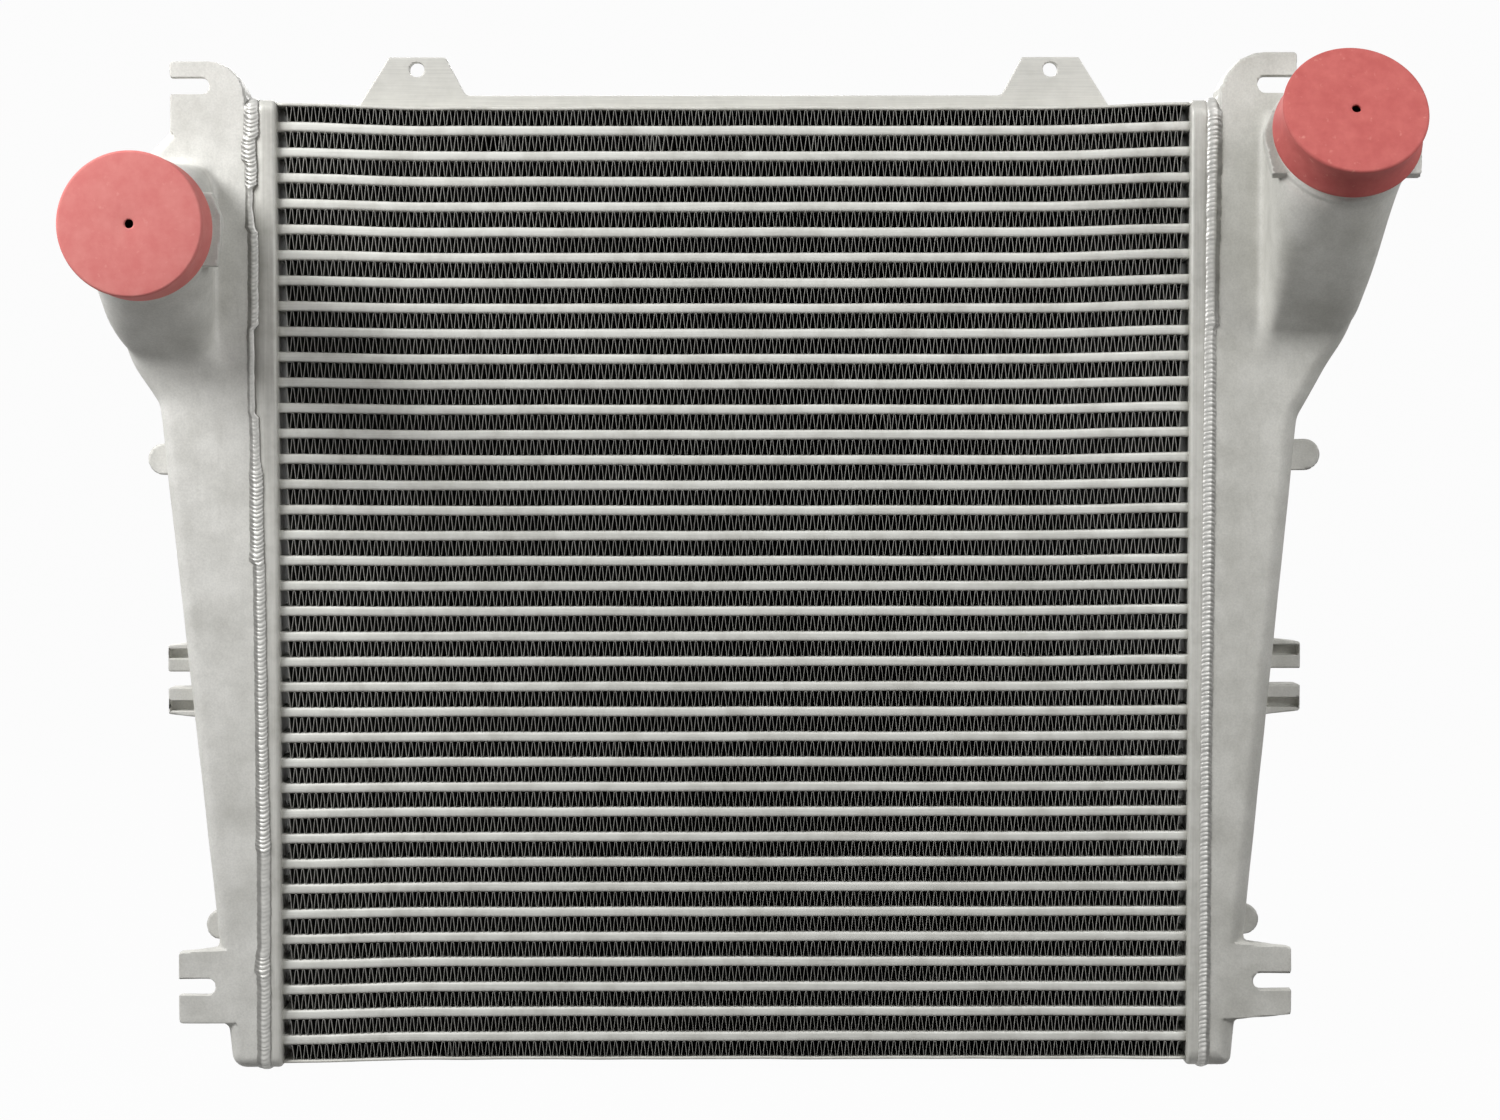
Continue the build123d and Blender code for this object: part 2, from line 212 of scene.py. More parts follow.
def cast_aluminium(name, light, dark):
    """Sand-cast aluminium, shot-blasted: a pale matt grey with a fine pitted grain of 1.6 mm, swells
    of 14 mm, faint grey clouds 42 mm across and a few rubbed streaks, 38 by 4.5 mm, which break up its
    soft sheen."""
    material, add, shader, place = finish_tree(name)
    cloud = add("TexNoise", {"Vector": place, "Scale": per_metre(42.0), "Detail": 4.0, "Roughness": 0.6})
    grain = add("TexNoise", {"Vector": place, "Scale": per_metre(1.6), "Detail": 2.0, "Roughness": 0.55})
    swell = add("TexNoise", {"Vector": place, "Scale": per_metre(14.0), "Detail": 2.0})
    stretch = (per_metre(4.5), per_metre(4.5), per_metre(38.0))
    long_way = add("Mapping", {"Vector": place, "Scale": stretch, "Rotation": (0.0, 0.5, 0.0)})
    rub = add("TexNoise", {"Vector": long_way, "Scale": 1.0, "Detail": 3.0})
    cloudy = add("MapRange", {"Value": cloud, "From Min": 0.38, "From Max": 0.72})
    rubbed = add("MapRange", {"Value": rub, "From Min": 0.6, "From Max": 0.78, "To Max": 0.35})
    speck = add("MapRange", {"Value": grain, "From Min": 0.3, "From Max": 0.7, "To Min": 0.93,
                             "To Max": 1.05})
    colour = linear(light)
    for share in (cloudy, rubbed):
        colour = add("Mix", {"Factor": share, "A": colour, "B": linear(dark)}, data_type="RGBA")
    colour = add("VectorMath", {"Vector": colour, "Scale": speck}, operation="SCALE")
    rough = add("MapRange", {"Value": cloud, "To Min": 0.46, "To Max": 0.62})
    dents = add("Bump", {"Height": swell, "Strength": 0.35, "Distance": 0.0012})
    pits = add("Bump", {"Height": grain, "Strength": 0.3, "Distance": 0.0003, "Normal": dents})
    plug(shader, {"Base Color": colour, "Roughness": rough, "Metallic": 0.05, "Specular IOR Level": 0.15,
                  "Normal": pits})
    return material


def rolled_aluminium(name, light, dark, along, metallic=0.15, inner=1.0):
    """Rolled or drawn aluminium after brazing: pale and satin, with faint streaks along the rolling
    direction, drawn 1.1 mm wide so that they show, and dull patches 22 mm across where flux has dried.
    Below an inner of 1 it has painted shade: where the piece's tone attribute is 0, as deep in the fins,
    only the share called inner of the colour is left."""
    material, add, shader, place = finish_tree(name)
    stretch = tuple(per_metre(55.0 if axis == along else 1.1) for axis in range(3))
    long_way = add("Mapping", {"Vector": place, "Scale": stretch})
    streak = add("TexNoise", {"Vector": long_way, "Scale": 1.0, "Detail": 2.0})
    flux = add("TexNoise", {"Vector": place, "Scale": per_metre(22.0), "Detail": 4.0, "Roughness": 0.65})
    dulled = add("MapRange", {"Value": flux, "From Min": 0.42, "From Max": 0.75})
    shade = add("MapRange", {"Value": streak, "From Min": 0.3, "From Max": 0.7, "To Min": 0.92,
                             "To Max": 1.05})
    colour = add("Mix", {"Factor": dulled, "A": linear(light), "B": linear(dark)}, data_type="RGBA")
    colour = add("VectorMath", {"Vector": colour, "Scale": shade}, operation="SCALE")
    if inner < 1.0:
        # Painted shade: the colour falls to the share inner where the tone attribute is 0.
        painted_light_and_shade = add("Attribute", take="Fac", attribute_name="painted_light_and_shade")
        left = add("MapRange", {"Value": painted_light_and_shade, "To Min": inner})
        colour = add("VectorMath", {"Vector": colour, "Scale": left}, operation="SCALE")
        plug(shader, {"Specular IOR Level": 0.1})
    rough = add("MapRange", {"Value": flux, "To Min": 0.36, "To Max": 0.58})
    scored = add("Bump", {"Height": streak, "Strength": 0.15, "Distance": 0.0001})
    plug(shader, {"Base Color": colour, "Roughness": rough, "Metallic": metallic, "Normal": scored})
    return material


def weld_metal(name, light, dark):
    """Weld metal laid by hand: painted highlights on the crowns and painted shade in the hollows
    between the ripples. The piece's tone attribute is 1 on a painted bright crown and 0 in a painted
    dark hollow; soot, in patches of 6 mm, varies it by 0.3."""
    material, add, shader, place = finish_tree(name)
    painted_light_and_shade = add("Attribute", take="Fac", attribute_name="painted_light_and_shade")
    soot = add("TexNoise", {"Vector": place, "Scale": per_metre(6.0), "Detail": 4.0})
    mixed = add("Math", {0: soot, 1: 0.3, 2: painted_light_and_shade}, operation="MULTIPLY_ADD")
    colour = add("Mix", {"Factor": mixed, "A": linear(dark), "B": linear(light)}, data_type="RGBA")
    rough = add("MapRange", {"Value": soot, "To Min": 0.3, "To Max": 0.5})
    crust = add("Bump", {"Height": soot, "Strength": 0.2, "Distance": 0.0004})
    plug(shader, {"Base Color": colour, "Roughness": rough, "Metallic": 0.35, "Normal": crust})
    return material


def moulded_rubber(name, light, dark):
    """Soft red rubber from a mould, dulled by a dry bloom: matt, mottled in patches of 12.5 mm, with a
    fine leathery grain, drawn at 1.4 mm so that it shows, and pale scuffs about 5 mm long."""
    material, add, shader, place = finish_tree(name)
    bloom = add("TexNoise", {"Vector": place, "Scale": per_metre(12.5), "Detail": 5.0, "Roughness": 0.6})
    grain = add("TexNoise", {"Vector": place, "Scale": per_metre(1.4), "Detail": 2.0})
    scuff = add("TexNoise", {"Vector": place, "Scale": per_metre(4.8), "Detail": 2.0})
    bloomed = add("MapRange", {"Value": bloom, "From Min": 0.35, "From Max": 0.7})
    scuffed = add("MapRange", {"Value": scuff, "From Min": 0.66, "From Max": 0.8, "To Max": 0.3})
    colour = add("Mix", {"Factor": bloomed, "A": linear(dark), "B": linear(light)}, data_type="RGBA")
    colour = add("Mix", {"Factor": scuffed, "A": colour, "B": linear("F0B4A6")}, data_type="RGBA")
    rough = add("MapRange", {"Value": bloom, "To Min": 0.62, "To Max": 0.78})
    leather = add("Bump", {"Height": grain, "Strength": 0.12, "Distance": 0.0002})
    plug(shader, {"Base Color": colour, "Roughness": rough, "Specular IOR Level": 0.35, "Normal": leather})
    return material


# Each finish: how it is made, its light and dark colours, then the rolling axis, metallic and inner, the
# share of the colour left in the deepest painted shade.
FINISHES = {
    # The castings are of one aluminium: the right one's darker colours are partly a real difference and
    # partly painted shade, as less light falls on the right tank.
    "cast_aluminium_left": (cast_aluminium, "E2E1DC", "C9C8C2"),
    "cast_aluminium_right": (cast_aluminium, "D9D8D2", "C0BFB8"),
    "brazed_tube": (rolled_aluminium, "DEDED8", "C4C3BC", 0),
    "fin_strip": (rolled_aluminium, "B0AFA9", "908F8A", 1, 0.0, 0.16),
    "side_sheet": (rolled_aluminium, "D2D1CA", "B4B3AB", 0),
    "pressed_pan": (rolled_aluminium, "CBCAC4", "B4B3AC", 2),
    "weld_metal": (weld_metal, "F1F0EB", "63625E"),
    "bracket_plate": (rolled_aluminium, "CFCEC8", "C4C3BD", 0),
    # The two caps are of one rubber: the left one's paler colour is partly a real difference and partly
    # painted light, the right one's darker red partly painted shade, as the light falls from the left.
    "rubber_pale": (moulded_rubber, "E08A84", "D87A76"),
    "rubber_red": (moulded_rubber, "CC6C67", "BF5D59"),
}


def finish(key):
    """The material of one finish, made once."""
    maker, *looks = FINISHES[key]
    return bpy.data.materials.get(key) or maker(key, *looks)


# ---- the core ----

def core_stations(reach, dense, sparse):
    """Places along a row: close together where the row bows, wide apart between."""
    start = HALF_WIDTH - bpy.context.scene.cooler.bow_reach
    outer = np.linspace(start, reach, dense)
    inner = np.linspace(-start, start, sparse)[1:-1]
    return np.concatenate([-outer[::-1], inner, outer])


def flat_oval(width, height, arc_steps, flat_steps, blunt=1.0):
    """A closed flat oval, (n, 2) in y and z: a nose at the front, a flat, a nose, a flat. Each nose is
    round at blunt 1 and flatter in front below that."""
    radius = height / 2
    centre = width / 2 - radius
    turn = np.linspace(0.5 * math.pi, 1.5 * math.pi, arc_steps + 1)
    round_nose = np.stack([np.cos(turn), np.sin(turn)], axis=1)
    nose = radius * np.sign(round_nose) * np.abs(round_nose) ** blunt - np.array([centre, 0.0])
    run = np.linspace(-centre, centre, flat_steps + 1)[1:-1]
    under = np.stack([run, np.full_like(run, -radius)], axis=1)
    return np.concatenate([nose, under, -nose, -under])


def carried(x, section, level, swell=1.0):
    """A section of y and z carried along x, its height scaled by swell about level, and bowed."""
    x, level, swell = [np.reshape(values, (-1, 1)) for values in (x, level, swell)]
    points = gathered(x, section[:, 0], level + section[:, 1] * swell)
    return bowed(points), grid_faces(len(x), len(section), wrap_columns=True)


def tube_surface(row):
    """One tube: the flat oval carried along X, its height wandering by a fraction of a millimetre,
    then bowed with its row. Its ends stand a little way into the pans."""
    cooler = bpy.context.scene.cooler
    into_pan = 4.6
    x = core_stations(HALF_WIDTH + into_pan, 16, 30)
    section = flat_oval(cooler.core_depth, cooler.tube_height, 14, 4, blunt=0.58)
    level = row_level(row) + 0.22 * ripple(x, 100 + row, 210.0)
    return carried(x, section, level, 1.0 + 0.012 * ripple(x, 300 + row, 60.0))


def turbulator_surface(row):
    """The folded strip inside a tube: a zigzag in y and z carried along X."""
    folds = 22
    half_width = 27.0
    half_sheet = 0.1
    clear = 0.7
    y = np.linspace(-half_width, half_width, folds + 1)
    half = bpy.context.scene.cooler.tube_height / 2 - clear
    z = np.where(np.arange(folds + 1) % 2, half, -half)
    section = np.concatenate([np.stack([y, z + half_sheet], 1), np.stack([y, z - half_sheet], 1)[::-1]])
    return carried(core_stations(HALF_WIDTH, 8, 4), section, row_level(row))


def knocks(x, strip):
    """How far the front edge of a fin is pushed sideways: a small uneven lean everywhere, and bell
    curves a exp(-((x - c) / w)^2) where something has struck the fins, given as (c, w, a) for a strip
    counted from the lowest."""
    push = 0.22 * ripple(x, 500 + strip, 9.0) + 0.35 * ripple(x, 900 + strip, 70.0)
    struck = {
        36: ((-192.0, 7.0, 3.2), (-58.0, 9.0, -3.4), (60.0, 5.0, 1.6)),
        37: ((-330.0, 40.0, 1.6), (-55.0, 60.0, 1.5), (330.0, 40.0, -1.5)),
        0: ((-237.0, 8.0, 3.0), (-330.0, 35.0, 1.7), (290.0, 50.0, -1.6)),
        25: ((120.0, 6.0, 1.8),),
        12: ((-90.0, 6.0, -1.8),),
    }
    for centre, width, amount in struck.get(strip, ()):
        push = push + amount * np.exp(-((x - centre) / width) ** 2)
    return push


def fold_outline(waves, wave, height, crest):
    """The zigzag of a folded strip in x and z: crests of a given radius joined by straight legs that
    lean by b, where 2 r cos b + (height - 2 r (1 - sin b)) tan b is half a wave."""
    low, high = 0.0, 0.5
    for _ in range(40):
        lean = (low + high) / 2
        drop = height - 2.0 * crest * (1.0 - math.sin(lean))
        reach = 2.0 * crest * math.cos(lean) + drop * math.tan(lean)
        low, high = (lean, high) if reach < wave / 2 else (low, lean)
    turn = np.array([0.0, 0.5, 1.0]) * (0.5 * math.pi - lean)
    down_x = np.concatenate([crest * np.sin(turn), wave / 2 - crest * np.sin(turn[:0:-1])])
    down_z = np.concatenate([height / 2 - crest * (1.0 - np.cos(turn)),
                             crest * (1.0 - np.cos(turn[:0:-1])) - height / 2])
    half_folds = np.arange(2 * waves)[:, None]
    x = (half_folds * wave / 2 + down_x).ravel() - waves * wave / 2
    z = (np.where(half_folds % 2, -1.0, 1.0) * down_z).ravel()
    return np.append(x, waves * wave / 2), np.append(z, height / 2)


def fin_surface(strip):
    """One folded fin strip. Through y each fold is straight at the front, then steps aside and back, as
    a louvred fin does, so no light passes. The sheet has two sides and a closed rim. In the outer rows
    the folds also bulge sideways by 0.5 to 1.6 mm times 1 - (2 z / height)^2."""
    cooler = bpy.context.scene.cooler
    clear = 0.3
    x, z = fold_outline(cooler.fin_waves, cooler.fin_wave, cooler.fin_height - clear, cooler.fin_crest)
    run = np.gradient(x)
    rise = np.gradient(z)
    length = np.hypot(run, rise)
    side = np.stack([-rise / length, run / length], axis=1) * (cooler.fin_sheet / 2)
    # At five depths from front to back: how far the sheet stands aside and how much it leans.
    depth = np.array([-31.2, -28.6, 3.0, 20.0, 31.0])
    aside = np.array([0.0, 0.0, 5.2, 0.0, 0.0])
    leaning = np.array([1.0, 0.85, 0.0, 0.0, 0.0])
    push = knocks(x, strip)
    if strip in (0, ROWS - 1, ROWS):
        ends = smooth_step((np.abs(x) - 140.0) / 120.0)
        push = push + (0.5 + 1.1 * ends) * (1.0 - (2.0 * z / cooler.fin_height) ** 2)
    level = SIDE_SHEET + cooler.fin_height / 2 + strip * (cooler.tube_height + cooler.fin_height)
    order = np.array([0, 1, 2, 3, 4, 4, 3, 2, 1, 0])
    hand = np.repeat([-1.0, 1.0], len(depth))
    points = gathered(x[:, None] + aside[order] + push[:, None] * leaning[order] + side[:, :1] * hand,
                      depth[order] + 0.3 * ripple(x, 40 + strip, 23.0)[:, None] * leaning[order],
                      level + z[:, None] + side[:, 1:] * hand)
    return bowed(points), grid_faces(len(x), len(order), wrap_columns=True)


def sheet_surface(level, crown):
    """A core side sheet: a thin rounded strip carried along X and bowed, a little uneven in height;
    crown is 1 for the top sheet and -1 for the bottom one."""
    x = core_stations(HALF_WIDTH - 0.05, 20, 60)
    section = flat_oval(bpy.context.scene.cooler.core_depth, SIDE_SHEET, 6, 3)
    return carried(x, section, level + crown * 0.3 * ripple(x, 77, 160.0))


# ---- header pans and seam welds ----

def pan_path(radius, corner_steps, y_steps, z_steps):
    """The pan's rounded rectangle in y and z about its middle: points, outward normals and arc length,
    walked once round."""
    points = []
    normals = []
    middle = np.array([PAN_HALF_DEPTH - radius, PAN_HALF_HEIGHT - radius])
    quarter = math.pi / 2
    for corner in range(4):
        turn = (corner + np.linspace(0.0, 1.0, corner_steps + 1)) * quarter
        normal = np.stack([np.cos(turn), np.sin(turn)], axis=1)
        here, ahead = [np.sign([math.cos(way * quarter), math.sin(way * quarter)]) * middle
                       for way in (corner + 0.5, corner + 1.5)]
        bend = here + radius * normal
        target = ahead + radius * normal[-1]
        steps = y_steps if corner % 2 == 0 else z_steps
        share = np.linspace(0.0, 1.0, steps + 1)[1:-1, None]
        points += [bend, bend[-1] + (target - bend[-1]) * share]
        normals += [normal, np.repeat(normal[-1:], len(share), axis=0)]
    points = np.concatenate(points)
    normals = np.concatenate(normals)
    length = np.concatenate([[0.0], np.cumsum(np.hypot(*np.diff(points, axis=0).T))])
    return points, normals, length


def pan_surface(radius, seam):
    """A pressed header pan: a plate, a rounded bend and a lip that ends at the seam, carried round a
    rounded rectangle and closed by the plate's two faces."""
    points, normals, length = pan_path(radius, 10, 12, 120)
    sheet = 3.0
    press = 3.4
    inset = -8.0
    bend = np.linspace(math.pi, 0.5 * math.pi, 7)
    outer = np.stack([press + press * np.cos(bend), -press + press * np.sin(bend)], axis=1)
    end = seam - HALF_WIDTH
    lip = np.array([[9.0, 0.0], [end, 0.0], [end, -sheet], [4.0, -sheet], [sheet, -4.0], [sheet, inset]])
    profile = np.concatenate([[[0.0, inset]], outer, lip])
    wave = 0.16 * ripple(length, 21, 55.0)
    away = profile[None, :, 1] + wave[:, None] * (profile[None, :, 1] > -0.5)
    shape = gathered(HALF_WIDTH + profile[None, :, 0], points[:, None, 0] + normals[:, None, 0] * away,
                     points[:, None, 1] + normals[:, None, 1] * away + PAN_MIDDLE)
    rows, columns = shape.shape[:2]
    faces = grid_faces(rows, columns, wrap_rows=True)[:, ::-1].tolist()
    faces.append([r * columns for r in reversed(range(rows))])
    faces.append([r * columns + columns - 1 for r in range(rows)])
    return shape.reshape(-1, 3), faces


def bead_surface(radius, runs, pitch, hang, edge_shade, seed):
    """A seam weld laid in several runs: an arch h sqrt(1 - u^2), lower towards the tank, carried round
    the joint and cut by ripples |sin(pi s / pitch)|^0.7. Ripples and the ends of runs hang down in the
    middle of the bead, as both are read at s + hang (1 - u^2). Its two toes and its root are sunk into
    the joint. Each run is (level, middle, width, height, ripple). The tone is painted light and shade: a
    painted glint on each crown, crowns a little brighter than the hollows and painted shade on the bead's
    flank towards the tank; outlined is the strength of a thin line of painted shade by the pan."""
    points, normals, length = pan_path(radius, 24, 90, 1500)
    z = points[:, 1] + PAN_MIDDLE
    level, middle, width, height, strength = np.array(runs).T
    u = np.sin(np.linspace(-0.5 * math.pi, 0.5 * math.pi, 15))
    hang = hang * (1.0 - u ** 2)
    read = z[:, None] + hang
    width = np.interp(z, level, width) * (1.0 + 0.045 * ripple(length, seed, 11.0))
    middle = np.interp(z, level, middle) + 0.25 * ripple(length, seed + 1, 37.0)
    along = 0.8 * ripple(length, seed + 2, 14.0) - length
    wave = np.abs(np.sin(math.pi * (along[:, None] + hang) / pitch)) ** 0.7
    strength = np.interp(read, level, strength)
    scallop = 1.0 - strength * (1.0 - wave)
    arch = np.sqrt(1.0 - np.minimum(u ** 2, 1.0)) * (1.0 - 0.4 * smooth_step((u - 0.1) / 0.5))
    crown = np.interp(read, level, height) * arch * (0.5 + 0.5 * scallop)
    toe, root = -0.6, -1.2
    away = np.concatenate([np.where(np.abs(u) > 0.99, toe, crown), np.full((len(z), 2), root)], axis=1)
    x = middle[:, None] + np.append(u, [0.7, -0.7]) * width[:, None] / 2
    shape = gathered(x, points[:, None, 0] + normals[:, None, 0] * away,
                     z[:, None] + normals[:, None, 1] * away)
    # The tone below is painted light and shade: a glint on each crown, shade on the flank by the tank and a
    # thin line of shade by the pan.
    vary = np.clip(0.65 + 0.35 * ripple(length, seed + 3, 9.0), 0.1, 1.2)[:, None]
    painted_glints = vary * strength * smooth_step((wave - 0.6) / 0.4) * np.exp(-((u + 0.1) / 0.28) ** 2)
    tank_side_shade = smooth_step((u - 0.2) / 0.25) * (1.0 - 0.5 * smooth_step((u - 0.85) / 0.15))
    line = edge_shade * smooth_step((-u - 0.75) / 0.15)
    painted_light_and_shade = np.clip(0.28 + 0.1 * scallop + 0.55 * painted_glints - 0.36 * tank_side_shade - 0.3 * line, 0.0, 1.0)
    painted_light_and_shade = np.concatenate([painted_light_and_shade, np.zeros((len(z), 2))], axis=1)
    faces = grid_faces(len(z), x.shape[1], wrap_rows=True, wrap_columns=True)[:, ::-1]
    return shape.reshape(-1, 3), faces.tolist(), painted_light_and_shade.ravel()


# ---- dust caps ----

def port_axes(port):
    """The middle of a port's mouth, the way up across it and the way out along the hose."""
    tilt = math.radians(port["tilt"])
    up = np.array([0.0, math.sin(tilt), math.cos(tilt)])
    return np.array(port["mouth"]), up, np.array([0.0, -math.cos(tilt), math.sin(tilt)])


def cap_surface(port, flare, sag):
    """A moulded dust cap: a profile of radius and height turned round the port. The face is a shallow
    dome with a vent hole, its edge a small round, its skirt a waist that opens by flare to a rolled rim.
    Below the face the section is three-lobed by sag, as on a cap pulled over an uneven end."""
    vent, bore, outside = 3.5, 51.6, 55.3
    edge_radius = 2.2
    top = -0.1
    depth = 32.0 * 0.985
    edge = np.linspace(0.5 * math.pi, 0.0, 7)
    waist = np.linspace(0.0, 1.0, 15)[1:]
    dome_radius = np.array([vent, 4.4, 12.0, 22.0, 32.0, 42.0, 49.0])
    dome = 3.0 - 0.9 * (dome_radius / 53.0) ** 4 - 0.45 * np.exp(-((dome_radius - vent) / 2.0) ** 2)
    skirt = outside - (1.9 * np.sin(math.pi * waist ** 0.8)) + flare * waist ** 3
    rim = np.linspace(0.0, math.pi, 7)[1:]
    rim_middle = (outside + flare + bore) / 2
    rim_half = (outside + flare - bore) / 2
    radius = np.concatenate([dome_radius, 53.1 + edge_radius * np.cos(edge), skirt,
                             rim_middle + rim_half * np.cos(rim), [bore, 51.0, vent]])
    height = np.concatenate([dome, top + edge_radius * np.sin(edge), top - depth * waist,
                             top - depth - 1.2 * np.sin(rim), [-20.0, 0.0, 0.0]])
    angle = np.linspace(0.0, 2.0 * math.pi, 145)[:-1, None]
    turned = radius * (1.0 + sag * np.cos(3.0 * angle + 0.6) * (height < -1.0))
    mouth, up, out = port_axes(port)
    shape = mouth + (turned * np.sin(angle))[..., None] * up + height[:, None] * out
    shape[..., 0] += turned * np.cos(angle)
    faces = grid_faces(len(angle), len(radius), wrap_rows=True, wrap_columns=True)
    return shape.reshape(-1, 3), faces.tolist()


# ---- castings as level surfaces ----

def blend_union(a, b, reach):
    """Join two distance fields with a fillet about reach wide: min(a, b) - reach h (1 - h)."""
    h = np.clip(0.5 + 0.5 * (b - a) / reach, 0.0, 1.0)
    return b + (a - b) * h - reach * h * (1.0 - h)


def flush_union(a, b, y, reach):
    """Join two fields that share the front face: a plain join at the face, a fillet behind it."""
    return blend_union(a, b, 0.05 + reach * smooth_step((y - FRONT - 0.8) / 4.0))


def overlap(*fields):
    """The part that lies inside every one of several fields."""
    return functools.reduce(np.maximum, fields)


def rounded_corners(corners, steps=5):
    """A closed outline from (x, z, radius) corners, each corner turned into an arc."""
    outline = []
    places = [np.array(c[:2], dtype=float) for c in corners]
    for i, corner in enumerate(corners):
        here = places[i]
        if corner[2] <= 0.0:
            outline.append(here)
            continue
        back = places[i - 1] - here
        ahead = places[(i + 1) % len(places)] - here
        back /= np.hypot(*back)
        ahead /= np.hypot(*ahead)
        half = 0.5 * math.acos(float(np.clip(back @ ahead, -1.0, 1.0)))
        middle = here + (back + ahead) / np.hypot(*(back + ahead)) * corner[2] / math.sin(half)
        start = here + back * corner[2] / math.tan(half) - middle
        end = here + ahead * corner[2] / math.tan(half) - middle
        for share in np.linspace(0.0, 1.0, steps + 1):
            ray = start * (1.0 - share) + end * share
            outline.append(middle + ray / np.hypot(*ray) * corner[2])
    return np.array(outline)


def outline_distance(x, z, outline):
    """Signed distance to a closed outline in a plane, negative inside."""
    nearest = np.full(np.broadcast(x, z).shape, 1e9)
    inside = np.zeros(nearest.shape, dtype=bool)
    for start, end in zip(outline, np.roll(outline, -1, axis=0)):
        edge = end - start
        dx = x - start[0]
        dz = z - start[1]
        share = np.clip((dx * edge[0] + dz * edge[1]) / (edge @ edge), 0.0, 1.0)
        nearest = np.minimum(nearest, (dx - edge[0] * share) ** 2 + (dz - edge[1] * share) ** 2)
        crosses = (start[1] <= z) != (end[1] <= z)
        if edge[1] != 0.0:
            inside ^= crosses & (dx < edge[0] * dz / edge[1])
    return np.where(inside, -1.0, 1.0) * np.sqrt(nearest)


def thick(flat, across, edge):
    """Give a flat field a thickness field across it, with its rims rounded by edge."""
    a = flat + edge
    b = across + edge
    return np.minimum(np.maximum(a, b), 0.0) + np.hypot(np.maximum(a, 0.0), np.maximum(b, 0.0)) - edge


def between(value, low, high):
    """Distance outside the slab low..high, negative inside."""
    return np.abs(value - (low + high) / 2) - (high - low) / 2


def plate(x, y, z, corners, y_low, y_high, edge):
    """A flat plate in the XZ plane with rounded corners and rims."""
    return thick(outline_distance(x, z, rounded_corners(corners)), between(y, y_low, y_high), edge)


def slot_field(x, z, level, nose):
    """An open-ended slot with a round inner end, as a field that is negative inside it."""
    return np.hypot(np.minimum(x - nose, 0.0), z - level) - SLOT_WIDTH / 2


def horn_field(x, y, z, port, outline):
    """The horn from the tank's face to the port. A point's share t along the horn comes from its
    distances to the root plane and to the flange plane; there the section is |u|^n + |v|^n = 1, with its
    middle, its half sizes and n (squarish at the root and round at the port) blended by t. The side
    towards the core stays squarish for longer. The horn keeps within the tank's outline at its root
    and may pass it by 16 mm low down, or 28 mm above z = 660, at the port. Its hidden end lies 22 mm
    behind the tank's face."""
    mouth, _, out = port_axes(port)
    back = mouth - (PORT_LENGTH + FLANGE * 0.6) * out
    from_root = FRONT - y
    from_flange = (y - back[1]) * out[1] + (z - back[2]) * out[2]
    t = np.clip(from_root / np.maximum(from_root - from_flange, 1e-3), 0.0, 1.0)
    t = np.where(from_root <= 0.0, 0.0, np.where(from_flange >= 0.0, 1.0, t))
    ease = t + port["swell"] * t * (1.0 - t)
    inner, outer, bottom, top = port["root"]
    neck = PORT_RADIUS + 1.8
    half_x = (outer - inner) / 2 * (1.0 - ease) + neck * ease
    half_z = (top - bottom) / 2 * (1.0 - ease) + neck * ease
    middle_x = (inner + outer) / 2 * (1.0 - t) + back[0] * t
    middle_z = (bottom + top) / 2 * (1.0 - t) + back[2] * t
    middle_y = FRONT * (1.0 - t) + back[1] * t
    tilt = math.radians(port["tilt"]) * t
    u = (x - middle_x) / half_x
    v = ((y - middle_y) * np.sin(tilt) + (z - middle_z) * np.cos(tilt)) / half_z
    square_core, square_out = port["square"]
    power = 2.0 + np.where(u < 0.0, square_core * (1.0 - t) ** port["fade"], square_out * (1.0 - t) ** 2)
    ring = (np.abs(u) ** power + np.abs(v) ** power + 1e-9) ** (1.0 / power)
    spread = 16.0 + 12.0 * smooth_step((z - 600.0) / 60.0)
    edge = outline_distance(x, np.minimum(z, 640.0), rounded_corners(outline)) - spread * t
    side = thick((ring - 1.0) * np.minimum(half_x, half_z) * 1.15, edge, 9.0)
    return thick(side, np.maximum(from_flange, y - FRONT - 22.0), 1.0)


def port_field(x, y, z, port):
    """The spigot, the ring behind it and the two-eared flange, in the port's own axes. Each half of the
    flange is cut back by the two straight sides a |u| + b v = c, given as (a, b, c)."""
    mouth, up, out = port_axes(port)
    u = x - mouth[0]
    v = (y - mouth[1]) * up[1] + (z - mouth[2]) * up[2]
    w = (y - mouth[1]) * out[1] + (z - mouth[2]) * out[2]
    off_wall = np.hypot(u, v) - PORT_RADIUS
    behind = between(w, -PORT_LENGTH - FLANGE, -PORT_LENGTH)
    spigot = thick(off_wall, between(w, -PORT_LENGTH - FLANGE, 0.0), 0.8)
    ring = thick(off_wall - 2.7, behind, 1.6)
    wide = np.abs(u)
    flat = np.maximum(wide - 61.0, np.abs(v) - 28.4)
    for a, b, c in ((0.932, 0.363, 60.1), (0.993, -0.122, 60.3)):
        flat = np.maximum(flat, a * wide + b * v - c)
    bore = np.maximum(off_wall + PORT_WALL, between(w, -PORT_LENGTH - 14.0, 2.0))
    return spigot, np.minimum(ring, thick(flat, behind, 0.8)), bore


